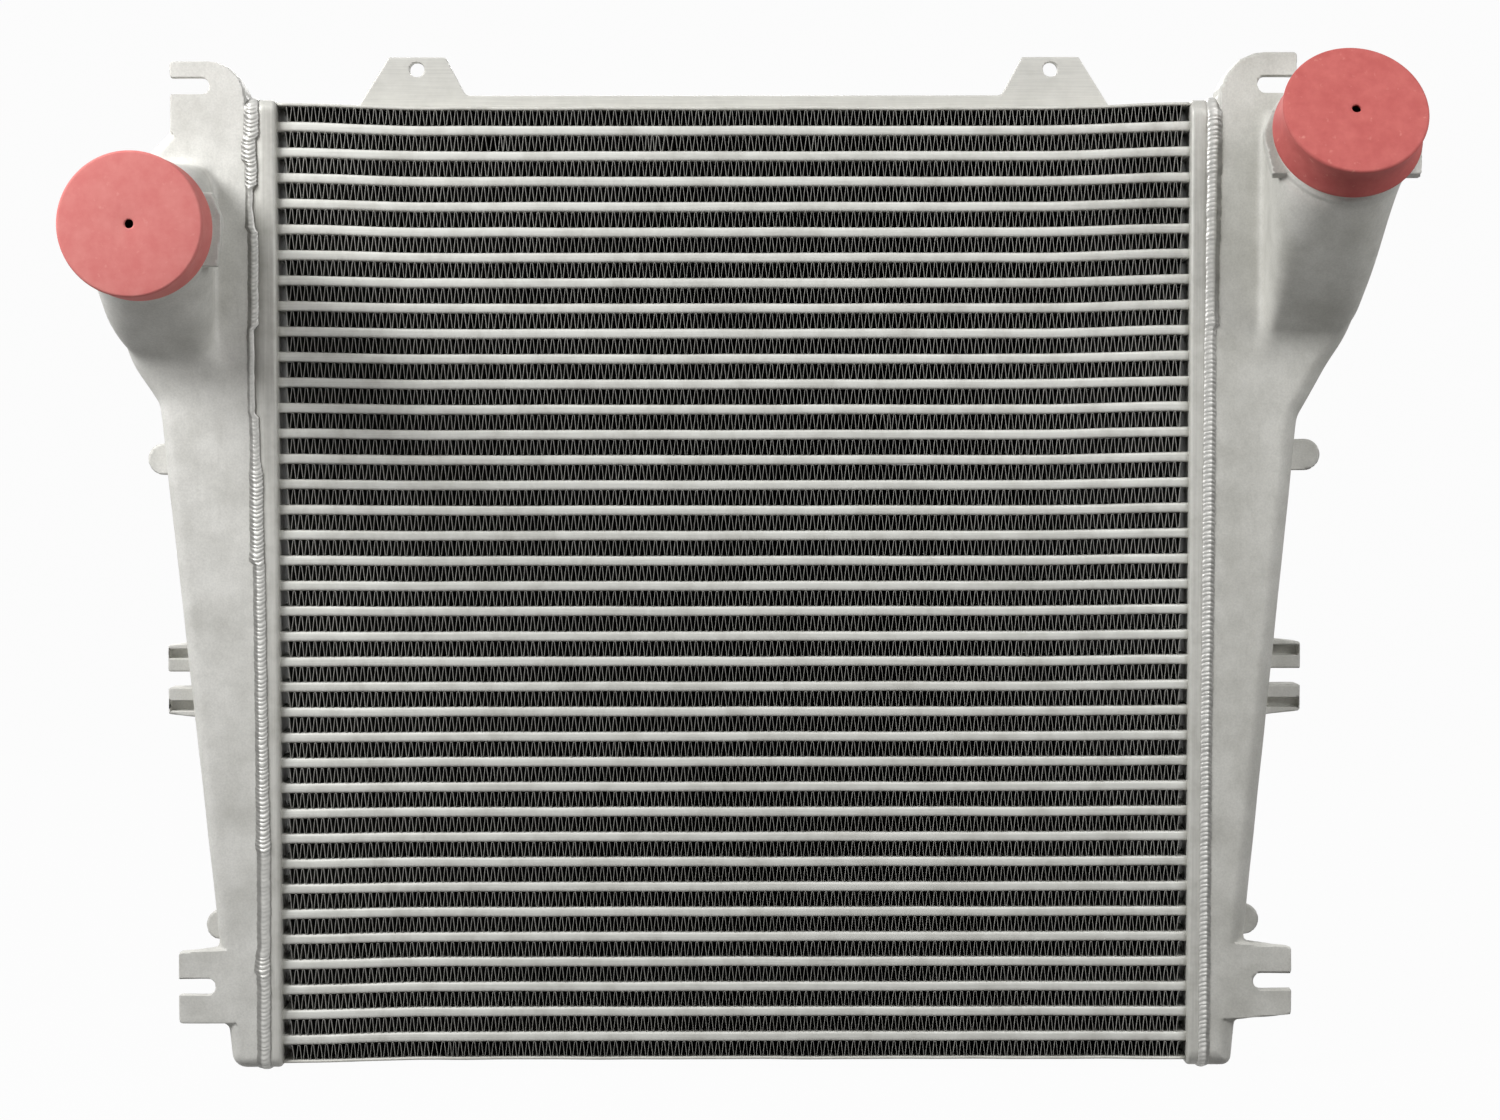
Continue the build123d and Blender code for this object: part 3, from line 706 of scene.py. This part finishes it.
def ear_field(x, y, z, tank):
    """The slotted ear at the tank's top: a plate flush with the face, and along its top and its side
    towards the core a gusset 7 mm wide that is 42 mm deeper at the pan's end than at the top."""
    inner, top, bend = tank["ear"]
    outer = 450.3
    wall = 7.0
    corners = rounded_corners(((inner, 735.0, 0.0), (438.0, 735.0, 0.0), (outer, 749.0, 1.5),
                               (outer, top, 2.5), (inner, top, bend)))
    flat = outline_distance(x, z, corners)
    within = outline_distance(x - wall, z + wall, corners)
    depth = FRONT + LUG_PLATE + np.clip((top - z) / (top - HEAD_Z), 0.0, 1.2) * 42.0
    gusset = overlap(flat, -within, y - depth, FRONT - y)
    ear = flush_union(thick(flat, between(y, FRONT, FRONT + LUG_PLATE), 0.8), gusset, y, 3.0)
    return np.maximum(ear, -slot_field(x, z, tank["ear_slot"], 425.3))


def foot_field(x, y, z, tank):
    """The slotted foot lug: a plate that tapers to its tip, with a rib 6 mm thick along its underside
    and one along its top, 16 mm deeper than the plate at the tank and level with it at their ends."""
    tip, low, low_tip, high_tip, high = tank["foot"]
    root = 394.0
    rib_end = 446.0
    corners = ((root, low, 0.0), (tip, low_tip, 2.5), (tip, high_tip, 1.0), (root, high, 0.0))
    foot = plate(x, y, z, corners, FRONT, FRONT + LUG_PLATE, 0.8)
    depth = FRONT + LUG_PLATE + np.clip((rib_end - x) / 34.0, 0.0, 1.0) * 16.0
    along = (x - root) / (tip - root)
    underside = low + (low_tip - low) * along
    topside = high + (high_tip - high) * along
    for height in (between(z - underside, 0.8, 6.0), between(z - topside, -6.0, 0.0)):
        rib = overlap(height, between(x, root, rib_end), y - depth, FRONT - y)
        foot = flush_union(foot, rib, y, 3.0)
    return np.maximum(foot, -slot_field(x, z, tank["foot_slot"], 425.6))


def mid_field(x, y, z, slot):
    """The two fingers above and below the mid slot, each with a pocket 9 mm deep in its front."""
    root = 430.0
    tip = 463.3
    fingers = []
    for way in (1.0, -1.0):
        near = slot + way * 6.6
        far = slot + way * 28.2
        corners = ((root, near, 0.0), (tip, near, 1.0), (tip, far, 1.2), (448.0, far + way * 1.8, 3.0),
                   (root, far + way * 3.4, 0.0))
        pocket = overlap(between((z - slot) * way, 17.5, 25.4), between(x, 424.0, 462.0), y - 9.0)
        fingers.append(np.maximum(plate(x, y, z, corners, 0.0, 24.0, 0.9), -pocket))
    return np.minimum(*fingers)


def tab_field(x, y, z, tabs):
    """The two tabs at the back, plates 8 mm thick with a round end; each is (level, reach, radius)."""
    fields = []
    for level, reach, radius in tabs:
        flat = np.hypot(np.maximum(x - reach + radius, 0.0), z - level) - radius
        fields.append(thick(np.maximum(flat, 396.0 - x), between(y, 22.0, 30.0), 1.0))
    return np.minimum(*fields)


def tank_field(x, y, z, tank):
    """A whole tank casting: the box with its rounded edges, the horn, the port, the lugs and the tabs,
    joined with fillets, then made uneven as sand castings are, by 0.12 mm times two products of sines.
    It is cut off where the seam weld starts."""
    body = plate(x, y, z, tank["outline"], FRONT, PAN_HALF_DEPTH, tank["edge"])
    port = tank["port"]
    side_fillet, foot_fillet = port["fillets"]
    near_foot = smooth_step((port["root"][2] + 30.0 - z) / 40.0)
    horn = horn_field(x, y, z, port, tank["outline"])
    shape = blend_union(body, horn, side_fillet + (foot_fillet - side_fillet) * near_foot)
    spigot, flange, bore = port_field(x, y, z, port)
    shape = blend_union(shape, spigot, 2.0)
    shape = blend_union(shape, flange, 2.5)
    shape = flush_union(shape, ear_field(x, y, z, tank), y, 5.0)
    shape = flush_union(shape, foot_field(x, y, z, tank), y, 7.0)
    shape = blend_union(shape, mid_field(x, y, z, tank["mid_slot"]), 6.0)
    shape = blend_union(shape, tab_field(x, y, z, tank["tabs"]), 5.0)
    shape = np.maximum(shape, -bore)
    uneven = np.sin(x / 9.0 + 1.3) * np.sin(z / 13.0 + 0.4) + np.sin(y / 8.0 + z / 21.0) * np.sin(x / 17.0)
    return np.maximum(shape + 0.12 * uneven, tank["seam"] - x)


def bracket_field(x, y, z):
    """One half of the top bracket, the other being its mirror: a bar 12 mm high with a drilled lug."""
    bar = CORE_TOP + 12.0
    lug = CORE_TOP + 42.8
    corners = ((-4.0, CORE_TOP, 0.0), (305.5, CORE_TOP, 1.0), (278.8, lug, 3.0), (232.8, lug, 3.0),
               (216.5, bar, 6.0), (-4.0, bar, 0.0))
    hole = np.hypot(x - 256.0, z - lug + 10.0) - 6.0
    return np.maximum(plate(x, y, z, corners, *BRACKET_DEPTH, 0.7), -hole)


def slope(field, places):
    """The outward unit normals of a field at places (n, 3), and how steep it is there, by central
    differences over 0.35 mm each way."""
    step = 0.35
    moves = np.eye(3) * step
    push = np.stack([field(*(places + move).T) - field(*(places - move).T) for move in moves], axis=1)
    size = np.linalg.norm(push, axis=1, keepdims=True)
    return push / np.maximum(size, 1e-6), size[:, 0] / (2.0 * step)


def level_surface(field, low, high, step):
    """The surface where a field is zero, by surface nets: each grid cell that the surface crosses gets
    one vertex, the mean of its edge crossings, and each crossed grid edge a quad of its four cells.
    The vertices are then drawn onto the surface along the field's slope."""
    axes = [np.arange(a, b + step, step) for a, b in zip(low, high)]
    value = field(axes[0][:, None, None], axes[1][None, :, None], axes[2][None, None, :])
    value = np.broadcast_to(value, tuple(len(a) for a in axes))
    inside = value < 0.0
    corners = np.array(list(itertools.product((0, 1), repeat=3)))
    count = sum(inside[tuple(slice(c, c + size - 1) for c, size in zip(corner, inside.shape))].astype(np.int8)
                for corner in corners)
    cells = np.argwhere((count > 0) & (count < 8))
    index = np.full(count.shape, -1, dtype=np.int64)
    index[tuple(cells.T)] = np.arange(len(cells))
    held = value[tuple((cells[:, None, :] + corners[None]).transpose(2, 0, 1))]
    total = np.zeros((len(cells), 3))
    crossings = np.zeros(len(cells))
    for a, b in itertools.combinations(range(8), 2):
        if np.abs(corners[a] - corners[b]).sum() != 1:
            continue
        crossed = (held[:, a] < 0.0) != (held[:, b] < 0.0)
        share = np.where(crossed, held[:, a] / np.where(crossed, held[:, a] - held[:, b], 1.0), 0.0)
        total += crossed[:, None] * (corners[a] + share[:, None] * (corners[b] - corners[a]))
        crossings += crossed
    places = np.array(low) + step * (cells + total / crossings[:, None])
    quads = []
    for axis, one, two in ((0, 1, 2), (1, 2, 0), (2, 0, 1)):
        crossed = inside != np.roll(inside, -1, axis=axis)
        np.moveaxis(crossed, axis, 0)[-1] = False
        for side_axis in (one, two):
            np.moveaxis(crossed, side_axis, 0)[[0, -1]] = False
        edges = np.argwhere(crossed)
        back_one, back_two = np.eye(3, dtype=int)[[one, two]]
        ring = [edges, edges - back_one, edges - back_one - back_two, edges - back_two]
        quad = np.stack([index[tuple(cell.T)] for cell in ring], axis=1)
        outward = inside[tuple(edges.T)]
        quads.append(np.where(outward[:, None], quad, quad[:, ::-1]))
    quads = np.concatenate(quads)
    least_slope = 0.4
    for _ in range(2):
        normal, steep = slope(field, places)
        error = field(*places.T) / np.maximum(steep, least_slope)
        places = places - normal * np.clip(error, -step / 2, step / 2)[:, None]
    return places, quads.tolist(), slope(field, places)[0]


# ---- sizes that a user would change ----

class CoolerSizes(bpy.types.PropertyGroup):
    """Sizes of the core and the castings' grid in millimetres, and the colour of the stage."""

    core_depth: FloatProperty(name="Core depth", description="Depth of the tubes", default=64.0, min=20.0)
    tube_height: FloatProperty(name="Tube height", description="Height of one flat tube", default=8.0,
                               min=2.0)
    fin_height: FloatProperty(name="Fin height", description="Height of one folded strip", default=12.3,
                              min=2.0)
    fin_wave: FloatProperty(name="Fin wave", description="Length of one whole fold", default=5.5, min=1.0)
    fin_waves: IntProperty(name="Folds", description="Whole folds in one strip", default=131, min=1)
    fin_crest: FloatProperty(name="Fin crest", description="Radius of a fold's crest", default=0.7, min=0.1)
    fin_sheet: FloatProperty(name="Fin sheet", description="Drawn thickness of the fin sheet", default=0.35,
                             min=0.05)
    bow_reach: FloatProperty(name="Bow reach", description="Length of row that bows at each end",
                             default=125.0, min=1.0)
    bow_top: FloatProperty(name="Top bow", description="Rise of the top of the core at its ends", default=3.6)
    bow_bottom_left: FloatProperty(name="Bottom bow, left", default=-2.8,
                                   description="Rise of the underside at the left end")
    bow_bottom_right: FloatProperty(name="Bottom bow, right", default=-0.5,
                                    description="Rise of the underside at the right end")
    casting_grid: FloatProperty(name="Casting grid", description="Grid step of the cast surfaces",
                                default=2.1, min=1.0)
    paper: FloatVectorProperty(name="Backdrop", description="Colour of the floor and backdrop", size=3,
                               subtype="COLOR", min=0.0, max=1.0, default=(0.22, 0.22, 0.22))


# Runs of the seam welds from the foot up: level, middle, width, height, depth of the ripples (0 to 1).
LEFT_RUNS = (
    (-8.0, 380.2, 11.6, 2.0, 0.6), (70.0, 379.8, 11.8, 2.0, 0.6), (73.0, 380.8, 14.0, 3.2, 0.9),
    (86.0, 380.6, 12.4, 2.6, 0.8), (92.0, 379.6, 11.6, 2.0, 0.3), (170.0, 379.2, 11.6, 1.9, 0.3),
    (173.0, 379.6, 13.4, 3.2, 1.0), (186.0, 379.7, 12.0, 2.5, 1.0), (257.0, 380.3, 10.8, 2.3, 0.9),
    (402.0, 381.4, 10.5, 2.0, 0.7), (405.0, 383.0, 12.8, 3.1, 1.0), (418.0, 383.0, 11.8, 2.6, 1.0),
    (474.0, 383.2, 11.8, 2.4, 1.0), (488.0, 384.0, 8.6, 1.9, 0.5), (520.0, 384.4, 8.2, 1.8, 0.4),
    (524.0, 386.6, 6.2, 1.7, 0.2), (590.0, 386.8, 6.2, 1.7, 0.2), (594.0, 384.6, 9.2, 2.1, 0.8),
    (668.0, 384.3, 9.0, 2.0, 0.8), (672.0, 386.6, 8.6, 2.6, 0.5), (686.0, 387.4, 6.2, 1.8, 0.2),
    (703.0, 387.0, 6.4, 1.8, 0.2), (706.0, 385.6, 10.2, 3.1, 0.8), (723.0, 386.0, 10.8, 2.6, 0.9),
    (726.0, 387.2, 12.6, 3.4, 1.0), (742.0, 387.4, 12.0, 2.6, 1.0), (745.0, 385.4, 12.8, 3.1, 0.9),
    (770.0, 385.2, 12.0, 2.4, 0.8), (776.0, 385.2, 10.5, 1.8, 0.3),
)
RIGHT_RUNS = (
    (-8.0, 379.4, 9.4, 1.9, 1.0), (257.0, 380.2, 9.6, 2.0, 1.0), (400.0, 381.3, 10.4, 2.0, 0.9),
    (522.0, 381.8, 10.4, 2.0, 0.6), (590.0, 381.9, 9.6, 1.8, 0.4), (593.0, 383.2, 12.0, 3.0, 0.4),
    (612.0, 383.2, 11.0, 2.2, 0.3), (658.0, 383.6, 11.4, 2.2, 0.3), (661.0, 383.8, 12.4, 3.0, 0.4),
    (678.0, 384.0, 11.4, 2.2, 0.3), (681.0, 384.2, 12.6, 3.0, 0.4), (712.0, 384.4, 11.4, 2.2, 0.4),
    (715.0, 384.6, 13.0, 3.1, 0.5), (770.0, 384.8, 12.2, 2.5, 0.5), (776.0, 384.8, 10.5, 1.8, 0.3),
)
# A port: the middle of its mouth, its tilt upwards in degrees, the horn's root (inner, outer, bottom, top),
# how far the horn swells on its way, how square it starts (core side, outer side), how fast the core side
# rounds off, and the fillets to the tank (sides, foot). Both are worked out on the right, as the tanks.
LEFT_PORT = {"mouth": (453.7, -167.0, 662.8), "tilt": 0.0, "root": (416.0, 495.0, 562.0, 722.0),
             "swell": 0.1, "square": (5.0, 4.0), "fade": 1.0, "fillets": (6.0, 24.0)}
RIGHT_PORT = {"mouth": (470.5, -157.3, 748.7), "tilt": 25.0, "root": (424.0, 496.5, 580.0, 758.0),
              "swell": 0.0, "square": (7.0, 5.0), "fade": 0.7, "fillets": (8.0, 13.0)}


def tank_outline(foot, waist, shoulder):
    """The outline of a tank from the front, of which only three outer corners differ by side."""
    return ((362.0, FOOT_Z, 0.0), foot, waist, shoulder, (503.0, 697.0, 24.0), (448.5, 752.0, 6.0),
            (448.5, HEAD_Z, 16.0), (362.0, HEAD_Z, 0.0))


# A tank, worked out on the right: its port, the rounding of its edges, where the seam weld starts, the
# ear (inner side, top, corner radius), the foot lug (tip, then its underside at the root and tip, its top
# at the tip and root), the levels of the slots, the tabs (level, reach, radius), the outline (x, z, corner
# radius), the bend of the pan's corners, the box of its grid and the seam weld (runs, pitch, hang,
# strength of its thin line of painted shade by the pan, seed).
LEFT_TANK = {
    "port": LEFT_PORT, "edge": 10.0, "seam": 384.6, "ear": (391.0, 804.0, 29.0), "ear_slot": 784.7,
    "foot": (448.5, 31.0, 31.0, 88.6, 92.0), "foot_slot": 61.0, "mid_slot": 306.5,
    "tabs": ((487.0, 483.0, 13.0), (101.5, 438.0, 12.5)), "pan_bend": 10.0,
    "grid": ((379.0, -172.0, -10.0), (520.0, 44.0, 816.0)), "bead": (LEFT_RUNS, 3.5, 3.4, 1.0, 31),
    "outline": tank_outline((406.2, FOOT_Z, 12.0), (461.6, 531.0, 20.0), (503.0, 612.0, 22.0)),
}
RIGHT_TANK = {
    "port": RIGHT_PORT, "edge": 15.0, "seam": 382.0, "ear": (389.0, 810.8, 36.0), "ear_slot": 785.3,
    "foot": (450.0, 32.4, 37.2, 91.8, 96.0), "foot_slot": 64.5, "mid_slot": 308.4,
    "tabs": ((490.0, 483.0, 13.0), (105.0, 434.5, 12.5)), "pan_bend": 15.0,
    "grid": ((379.0, -186.0, -10.0), (540.0, 44.0, 816.0)), "bead": (RIGHT_RUNS, 3.8, -2.4, 0.0, 11),
    "outline": tank_outline((402.8, FOOT_Z, 8.0), (454.2, 520.0, 24.0), (500.0, 602.0, 22.0)),
}
TANKS = {"left": LEFT_TANK, "right": RIGHT_TANK}


def background_rays(add):
    """1 for a ray from the camera or one that has met gloss or glass, 0 for every other ray."""
    seen = 0.0
    for kind in ("Camera", "Glossy", "Transmission"):
        seen = add("Math", {0: seen, 1: add("LightPath", take=f"Is {kind} Ray")}, operation="MAXIMUM")
    return seen


# ---- one operator for each group of pieces ----

class COOLER_OT_tubes(bpy.types.Operator):
    """Build the flat tubes and the folded strips inside them"""

    bl_idname = "cooler.tubes"
    bl_label = "Tubes"

    def execute(self, context):
        for row in range(ROWS):
            vertices, faces = joined([tube_surface(row)])
            name = f"tube_{row + 1:02d}"
            make_piece(f"{name}_skin", vertices, faces, "brazed_tube", [name])
        # With no tone attribute, the strips inside the tubes take the fin finish at its deepest painted
        # shade.
        vertices, faces = joined([turbulator_surface(row) for row in range(ROWS)])
        make_piece("turbulator_strips", vertices, faces, "fin_strip", ["tube_turbulators"])
        return {"FINISHED"}


class COOLER_OT_fins(bpy.types.Operator):
    """Build the folded air fins between the tubes"""

    bl_idname = "cooler.fins"
    bl_label = "Air fins"

    def execute(self, context):
        strips = range(ROWS + 1)
        for pack, first in enumerate(strips[::STRIPS_IN_PACK]):
            vertices, faces = joined([fin_surface(strip) for strip in strips[first:first + STRIPS_IN_PACK]])
            name = f"air_fins_{pack + 1}"
            # The fins are painted darker deeper in, as painted shade, and keep their full colour at the front
            # and back rims; near its middle the topmost strip is lifted by half, as painted light shining
            # through the core.
            rim = smooth_step((np.abs(vertices[:, 1]) - 28.4) / 2.4)
            painted_glow = np.exp(-((vertices[:, 0] + 20.0) / 95.0) ** 4) * (vertices[:, 2] > row_level(ROWS - 1))
            painted_light_and_shade = np.maximum(rim, 0.5 * painted_glow)
            make_piece(f"{name}_folds", vertices, faces, "fin_strip", [name], painted_light_and_shade=painted_light_and_shade)
        return {"FINISHED"}


class COOLER_OT_sheets(bpy.types.Operator):
    """Build the two side sheets of the core"""

    bl_idname = "cooler.sheets"
    bl_label = "Side sheets"

    def execute(self, context):
        middle = SIDE_SHEET / 2
        for name, level, crown in (("bottom", middle, -1.0), ("top", CORE_TOP - middle, 1.0)):
            vertices, faces = joined([sheet_surface(level, crown)])
            make_piece(f"{name}_sheet_skin", vertices, faces, "side_sheet",
                       [f"{name}_side_sheet"])
        return {"FINISHED"}


class COOLER_OT_pans(bpy.types.Operator):
    """Build the pressed header pans and the seam welds on them"""

    bl_idname = "cooler.pans"
    bl_label = "Header pans and seam welds"

    def execute(self, context):
        for side in ("right", "left"):
            vertices, faces = pan_surface(TANKS[side]["pan_bend"], TANKS[side]["seam"])
            make_piece(f"{side}_pan", vertices, faces, "pressed_pan", [f"{side}_header"],
                       mirrored=side == "left")
        for side in ("right", "left"):
            vertices, faces, painted_light_and_shade = bead_surface(TANKS[side]["pan_bend"], *TANKS[side]["bead"])
            make_piece(f"{side}_bead", vertices, faces, "weld_metal", [f"{side}_seam_weld"],
                       mirrored=side == "left", painted_light_and_shade=painted_light_and_shade)
        return {"FINISHED"}


class COOLER_OT_tanks(bpy.types.Operator):
    """Build the two cast end tanks"""

    bl_idname = "cooler.tanks"
    bl_label = "End tanks"

    def execute(self, context):
        step = context.scene.cooler.casting_grid
        for side, tank in TANKS.items():
            places, faces, normals = level_surface(
                lambda x, y, z: tank_field(x, y, z, tank), *tank["grid"], step)
            # Each casting takes its own side's colours, and the right one's are partly painted shade.
            make_piece(f"{side}_casting", places, faces, f"cast_aluminium_{side}",
                       [f"{side}_tank"], mirrored=side == "left", normals=normals)
        return {"FINISHED"}


class COOLER_OT_bracket(bpy.types.Operator):
    """Build the drilled bracket on top of the core"""

    bl_idname = "cooler.bracket"
    bl_label = "Top bracket"

    def execute(self, context):
        low = (-309.0, -14.0, 765.0)
        high = (309.0, -2.0, 814.0)
        fine_step = 1.3
        places, faces, normals = level_surface(
            lambda x, y, z: bracket_field(np.abs(x), y, z), low, high, fine_step)
        make_piece("top_bracket_plate", places, faces, "bracket_plate", ["top_bracket"],
                   normals=normals)
        return {"FINISHED"}


class COOLER_OT_caps(bpy.types.Operator):
    """Build the rubber dust caps on the hose ports"""

    bl_idname = "cooler.caps"
    bl_label = "Dust caps"

    def execute(self, context):
        # The left cap's paler rubber is partly painted light, and the right cap's darker one is partly
        # painted shade.
        for side, flare, sag, look in (("left", 0.6, 0.004, "rubber_pale"),
                                       ("right", 2.2, 0.005, "rubber_red")):
            port = dict(TANKS[side]["port"])
            if side == "left":
                port["mouth"] = MIRROR * port["mouth"]
            vertices, faces = cap_surface(port, flare, sag)
            make_piece(f"{side}_cap", vertices, faces, look, [f"{side}_dust_cap"])
        return {"FINISHED"}


class COOLER_OT_stage(bpy.types.Operator):
    """Set up the floor, the backdrop, the lamps and the camera"""

    bl_idname = "cooler.stage"
    bl_label = "Stage"

    def execute(self, context):
        self.backdrop(context)
        self.world(context)
        self.lamps(context)
        self.camera(context)
        context.scene.view_settings.view_transform = "Standard"
        return {"FINISHED"}

    def backdrop(self, context):
        """A floor just under the object that curves up into a wall: straight, a quarter circle,
        straight, in metres. White for the rays that show a background, grey paper for the light."""
        bend = 1.2
        front, wall, top, half_width = -5.0, 3.8, 5.0, 6.0
        floor_level = -0.0086
        turn = np.linspace(-0.5 * math.pi, 0.0, 17)
        y = np.concatenate([[front], wall - bend + bend * np.cos(turn), [wall]])
        z = np.concatenate([[0.0], bend + bend * np.sin(turn), [top]]) + floor_level
        x = np.linspace(-half_width, half_width, 5)
        points = gathered(x[:, None], y, z).reshape(-1, 3)
        mesh = bpy.data.meshes.new("backdrop")
        mesh.from_pydata(points.tolist(), [], grid_faces(len(x), len(y))[:, ::-1].tolist())
        mesh.polygons.foreach_set("use_smooth", [True] * len(mesh.polygons))
        paper = bpy.data.materials.new("backdrop_paper")
        paper.use_nodes = True
        paper.node_tree.nodes.clear()
        add = functools.partial(add_node, paper.node_tree)
        diffuse = add("BsdfDiffuse", {"Color": (*context.scene.cooler.paper, 1.0)})
        white = add("Emission", {"Strength": 1.0})
        whiteness = 0.97
        share = add("Math", {0: background_rays(add), 1: whiteness}, operation="MULTIPLY")
        add("OutputMaterial", {"Surface": add("MixShader", {0: share, 1: diffuse, 2: white})})
        mesh.materials.append(paper)
        floor = bpy.data.objects.new("backdrop", mesh)
        context.scene.collection.objects.link(floor)

    def world(self, context):
        """White where the camera, gloss or glass looks, and a low even fill for everything else."""
        world = bpy.data.worlds.new("studio")
        context.scene.world = world
        world.use_nodes = True
        world.node_tree.nodes.clear()
        add = functools.partial(add_node, world.node_tree)
        fill, white = 0.02, 0.98
        strength = add("MapRange", {"Value": background_rays(add), "To Min": fill, "To Max": white})
        glow = add("Background", {"Color": (1.0, 1.0, 1.0, 1.0), "Strength": strength})
        add("OutputWorld", {"Surface": glow})

    def lamps(self, context):
        """A large soft lamp high on the left, near enough to fall off across the part, two weak ones
        on the right and one behind for the back, all turned to the part: (name, place, size, power)."""
        target = Vector((0.0, 0.0, 0.42))
        for name, place, size, power in (("left", (-1.65, -0.97, 1.7), 0.9, 52.0),
                                         ("right", (1.5, -1.1, 1.25), 0.8, 11.5),
                                         ("front", (0.7, -1.2, 1.7), 0.8, 6.5),
                                         ("back", (-0.2, 2.3, 1.9), 0.9, 36.0)):
            lamp = bpy.data.lights.new(name, "AREA")
            lamp.shape = "SQUARE"
            lamp.size = size
            lamp.energy = power
            holder = bpy.data.objects.new(name, lamp)
            context.scene.collection.objects.link(holder)
            holder.location = place
            holder.rotation_euler = (target - Vector(place)).to_track_quat("-Z", "Y").to_euler()

    def camera(self, context):
        """A view of the front from 2.2 m away through a long lens, turned down by 1.9 degrees."""
        pitch, yaw, roll = math.radians(1.8973), math.radians(0.1237), math.radians(-0.0556)
        ahead = Vector((math.sin(yaw) * math.cos(pitch), math.cos(yaw) * math.cos(pitch), -math.sin(pitch)))
        right = Vector((math.cos(yaw), -math.sin(yaw), 0.0))
        up = right.cross(ahead)
        turned_right = right * math.cos(roll) + up * math.sin(roll)
        turned_up = up * math.cos(roll) - right * math.sin(roll)
        lens = bpy.data.cameras.new("camera")
        lens.sensor_width = 36.0
        lens.lens = 64.56
        camera = bpy.data.objects.new("camera", lens)
        context.scene.collection.objects.link(camera)
        turn = Matrix((turned_right, turned_up, -ahead)).transposed().to_4x4()
        camera.matrix_world = Matrix.Translation((0.00817, -2.19777, 0.47688)) @ turn
        context.scene.camera = camera


OPERATORS = (COOLER_OT_tubes, COOLER_OT_fins, COOLER_OT_sheets, COOLER_OT_pans, COOLER_OT_tanks,
             COOLER_OT_bracket, COOLER_OT_caps, COOLER_OT_stage)


class COOLER_PT_panel(bpy.types.Panel):
    """The sizes and the pieces of the intercooler"""

    bl_idname = "COOLER_PT_panel"
    bl_label = "Intercooler"
    bl_space_type = "VIEW_3D"
    bl_region_type = "UI"
    bl_category = "Intercooler"

    def draw(self, context):
        for name in CoolerSizes.__annotations__:
            self.layout.prop(context.scene.cooler, name)
        for operator in OPERATORS:
            self.layout.operator(operator.bl_idname)


def register():
    for kind in (CoolerSizes, *OPERATORS, COOLER_PT_panel):
        bpy.utils.register_class(kind)
    bpy.types.Scene.cooler = PointerProperty(type=CoolerSizes)


def unregister():
    del bpy.types.Scene.cooler
    for kind in (COOLER_PT_panel, *reversed(OPERATORS), CoolerSizes):
        bpy.utils.unregister_class(kind)


def main():
    """Build every piece around the frame."""
    register()
    bpy.ops.cooler.tubes()
    bpy.ops.cooler.fins()
    bpy.ops.cooler.sheets()
    bpy.ops.cooler.pans()
    bpy.ops.cooler.tanks()
    bpy.ops.cooler.bracket()
    bpy.ops.cooler.caps()
    bpy.ops.cooler.stage()


if __name__ == "__main__":
    main()
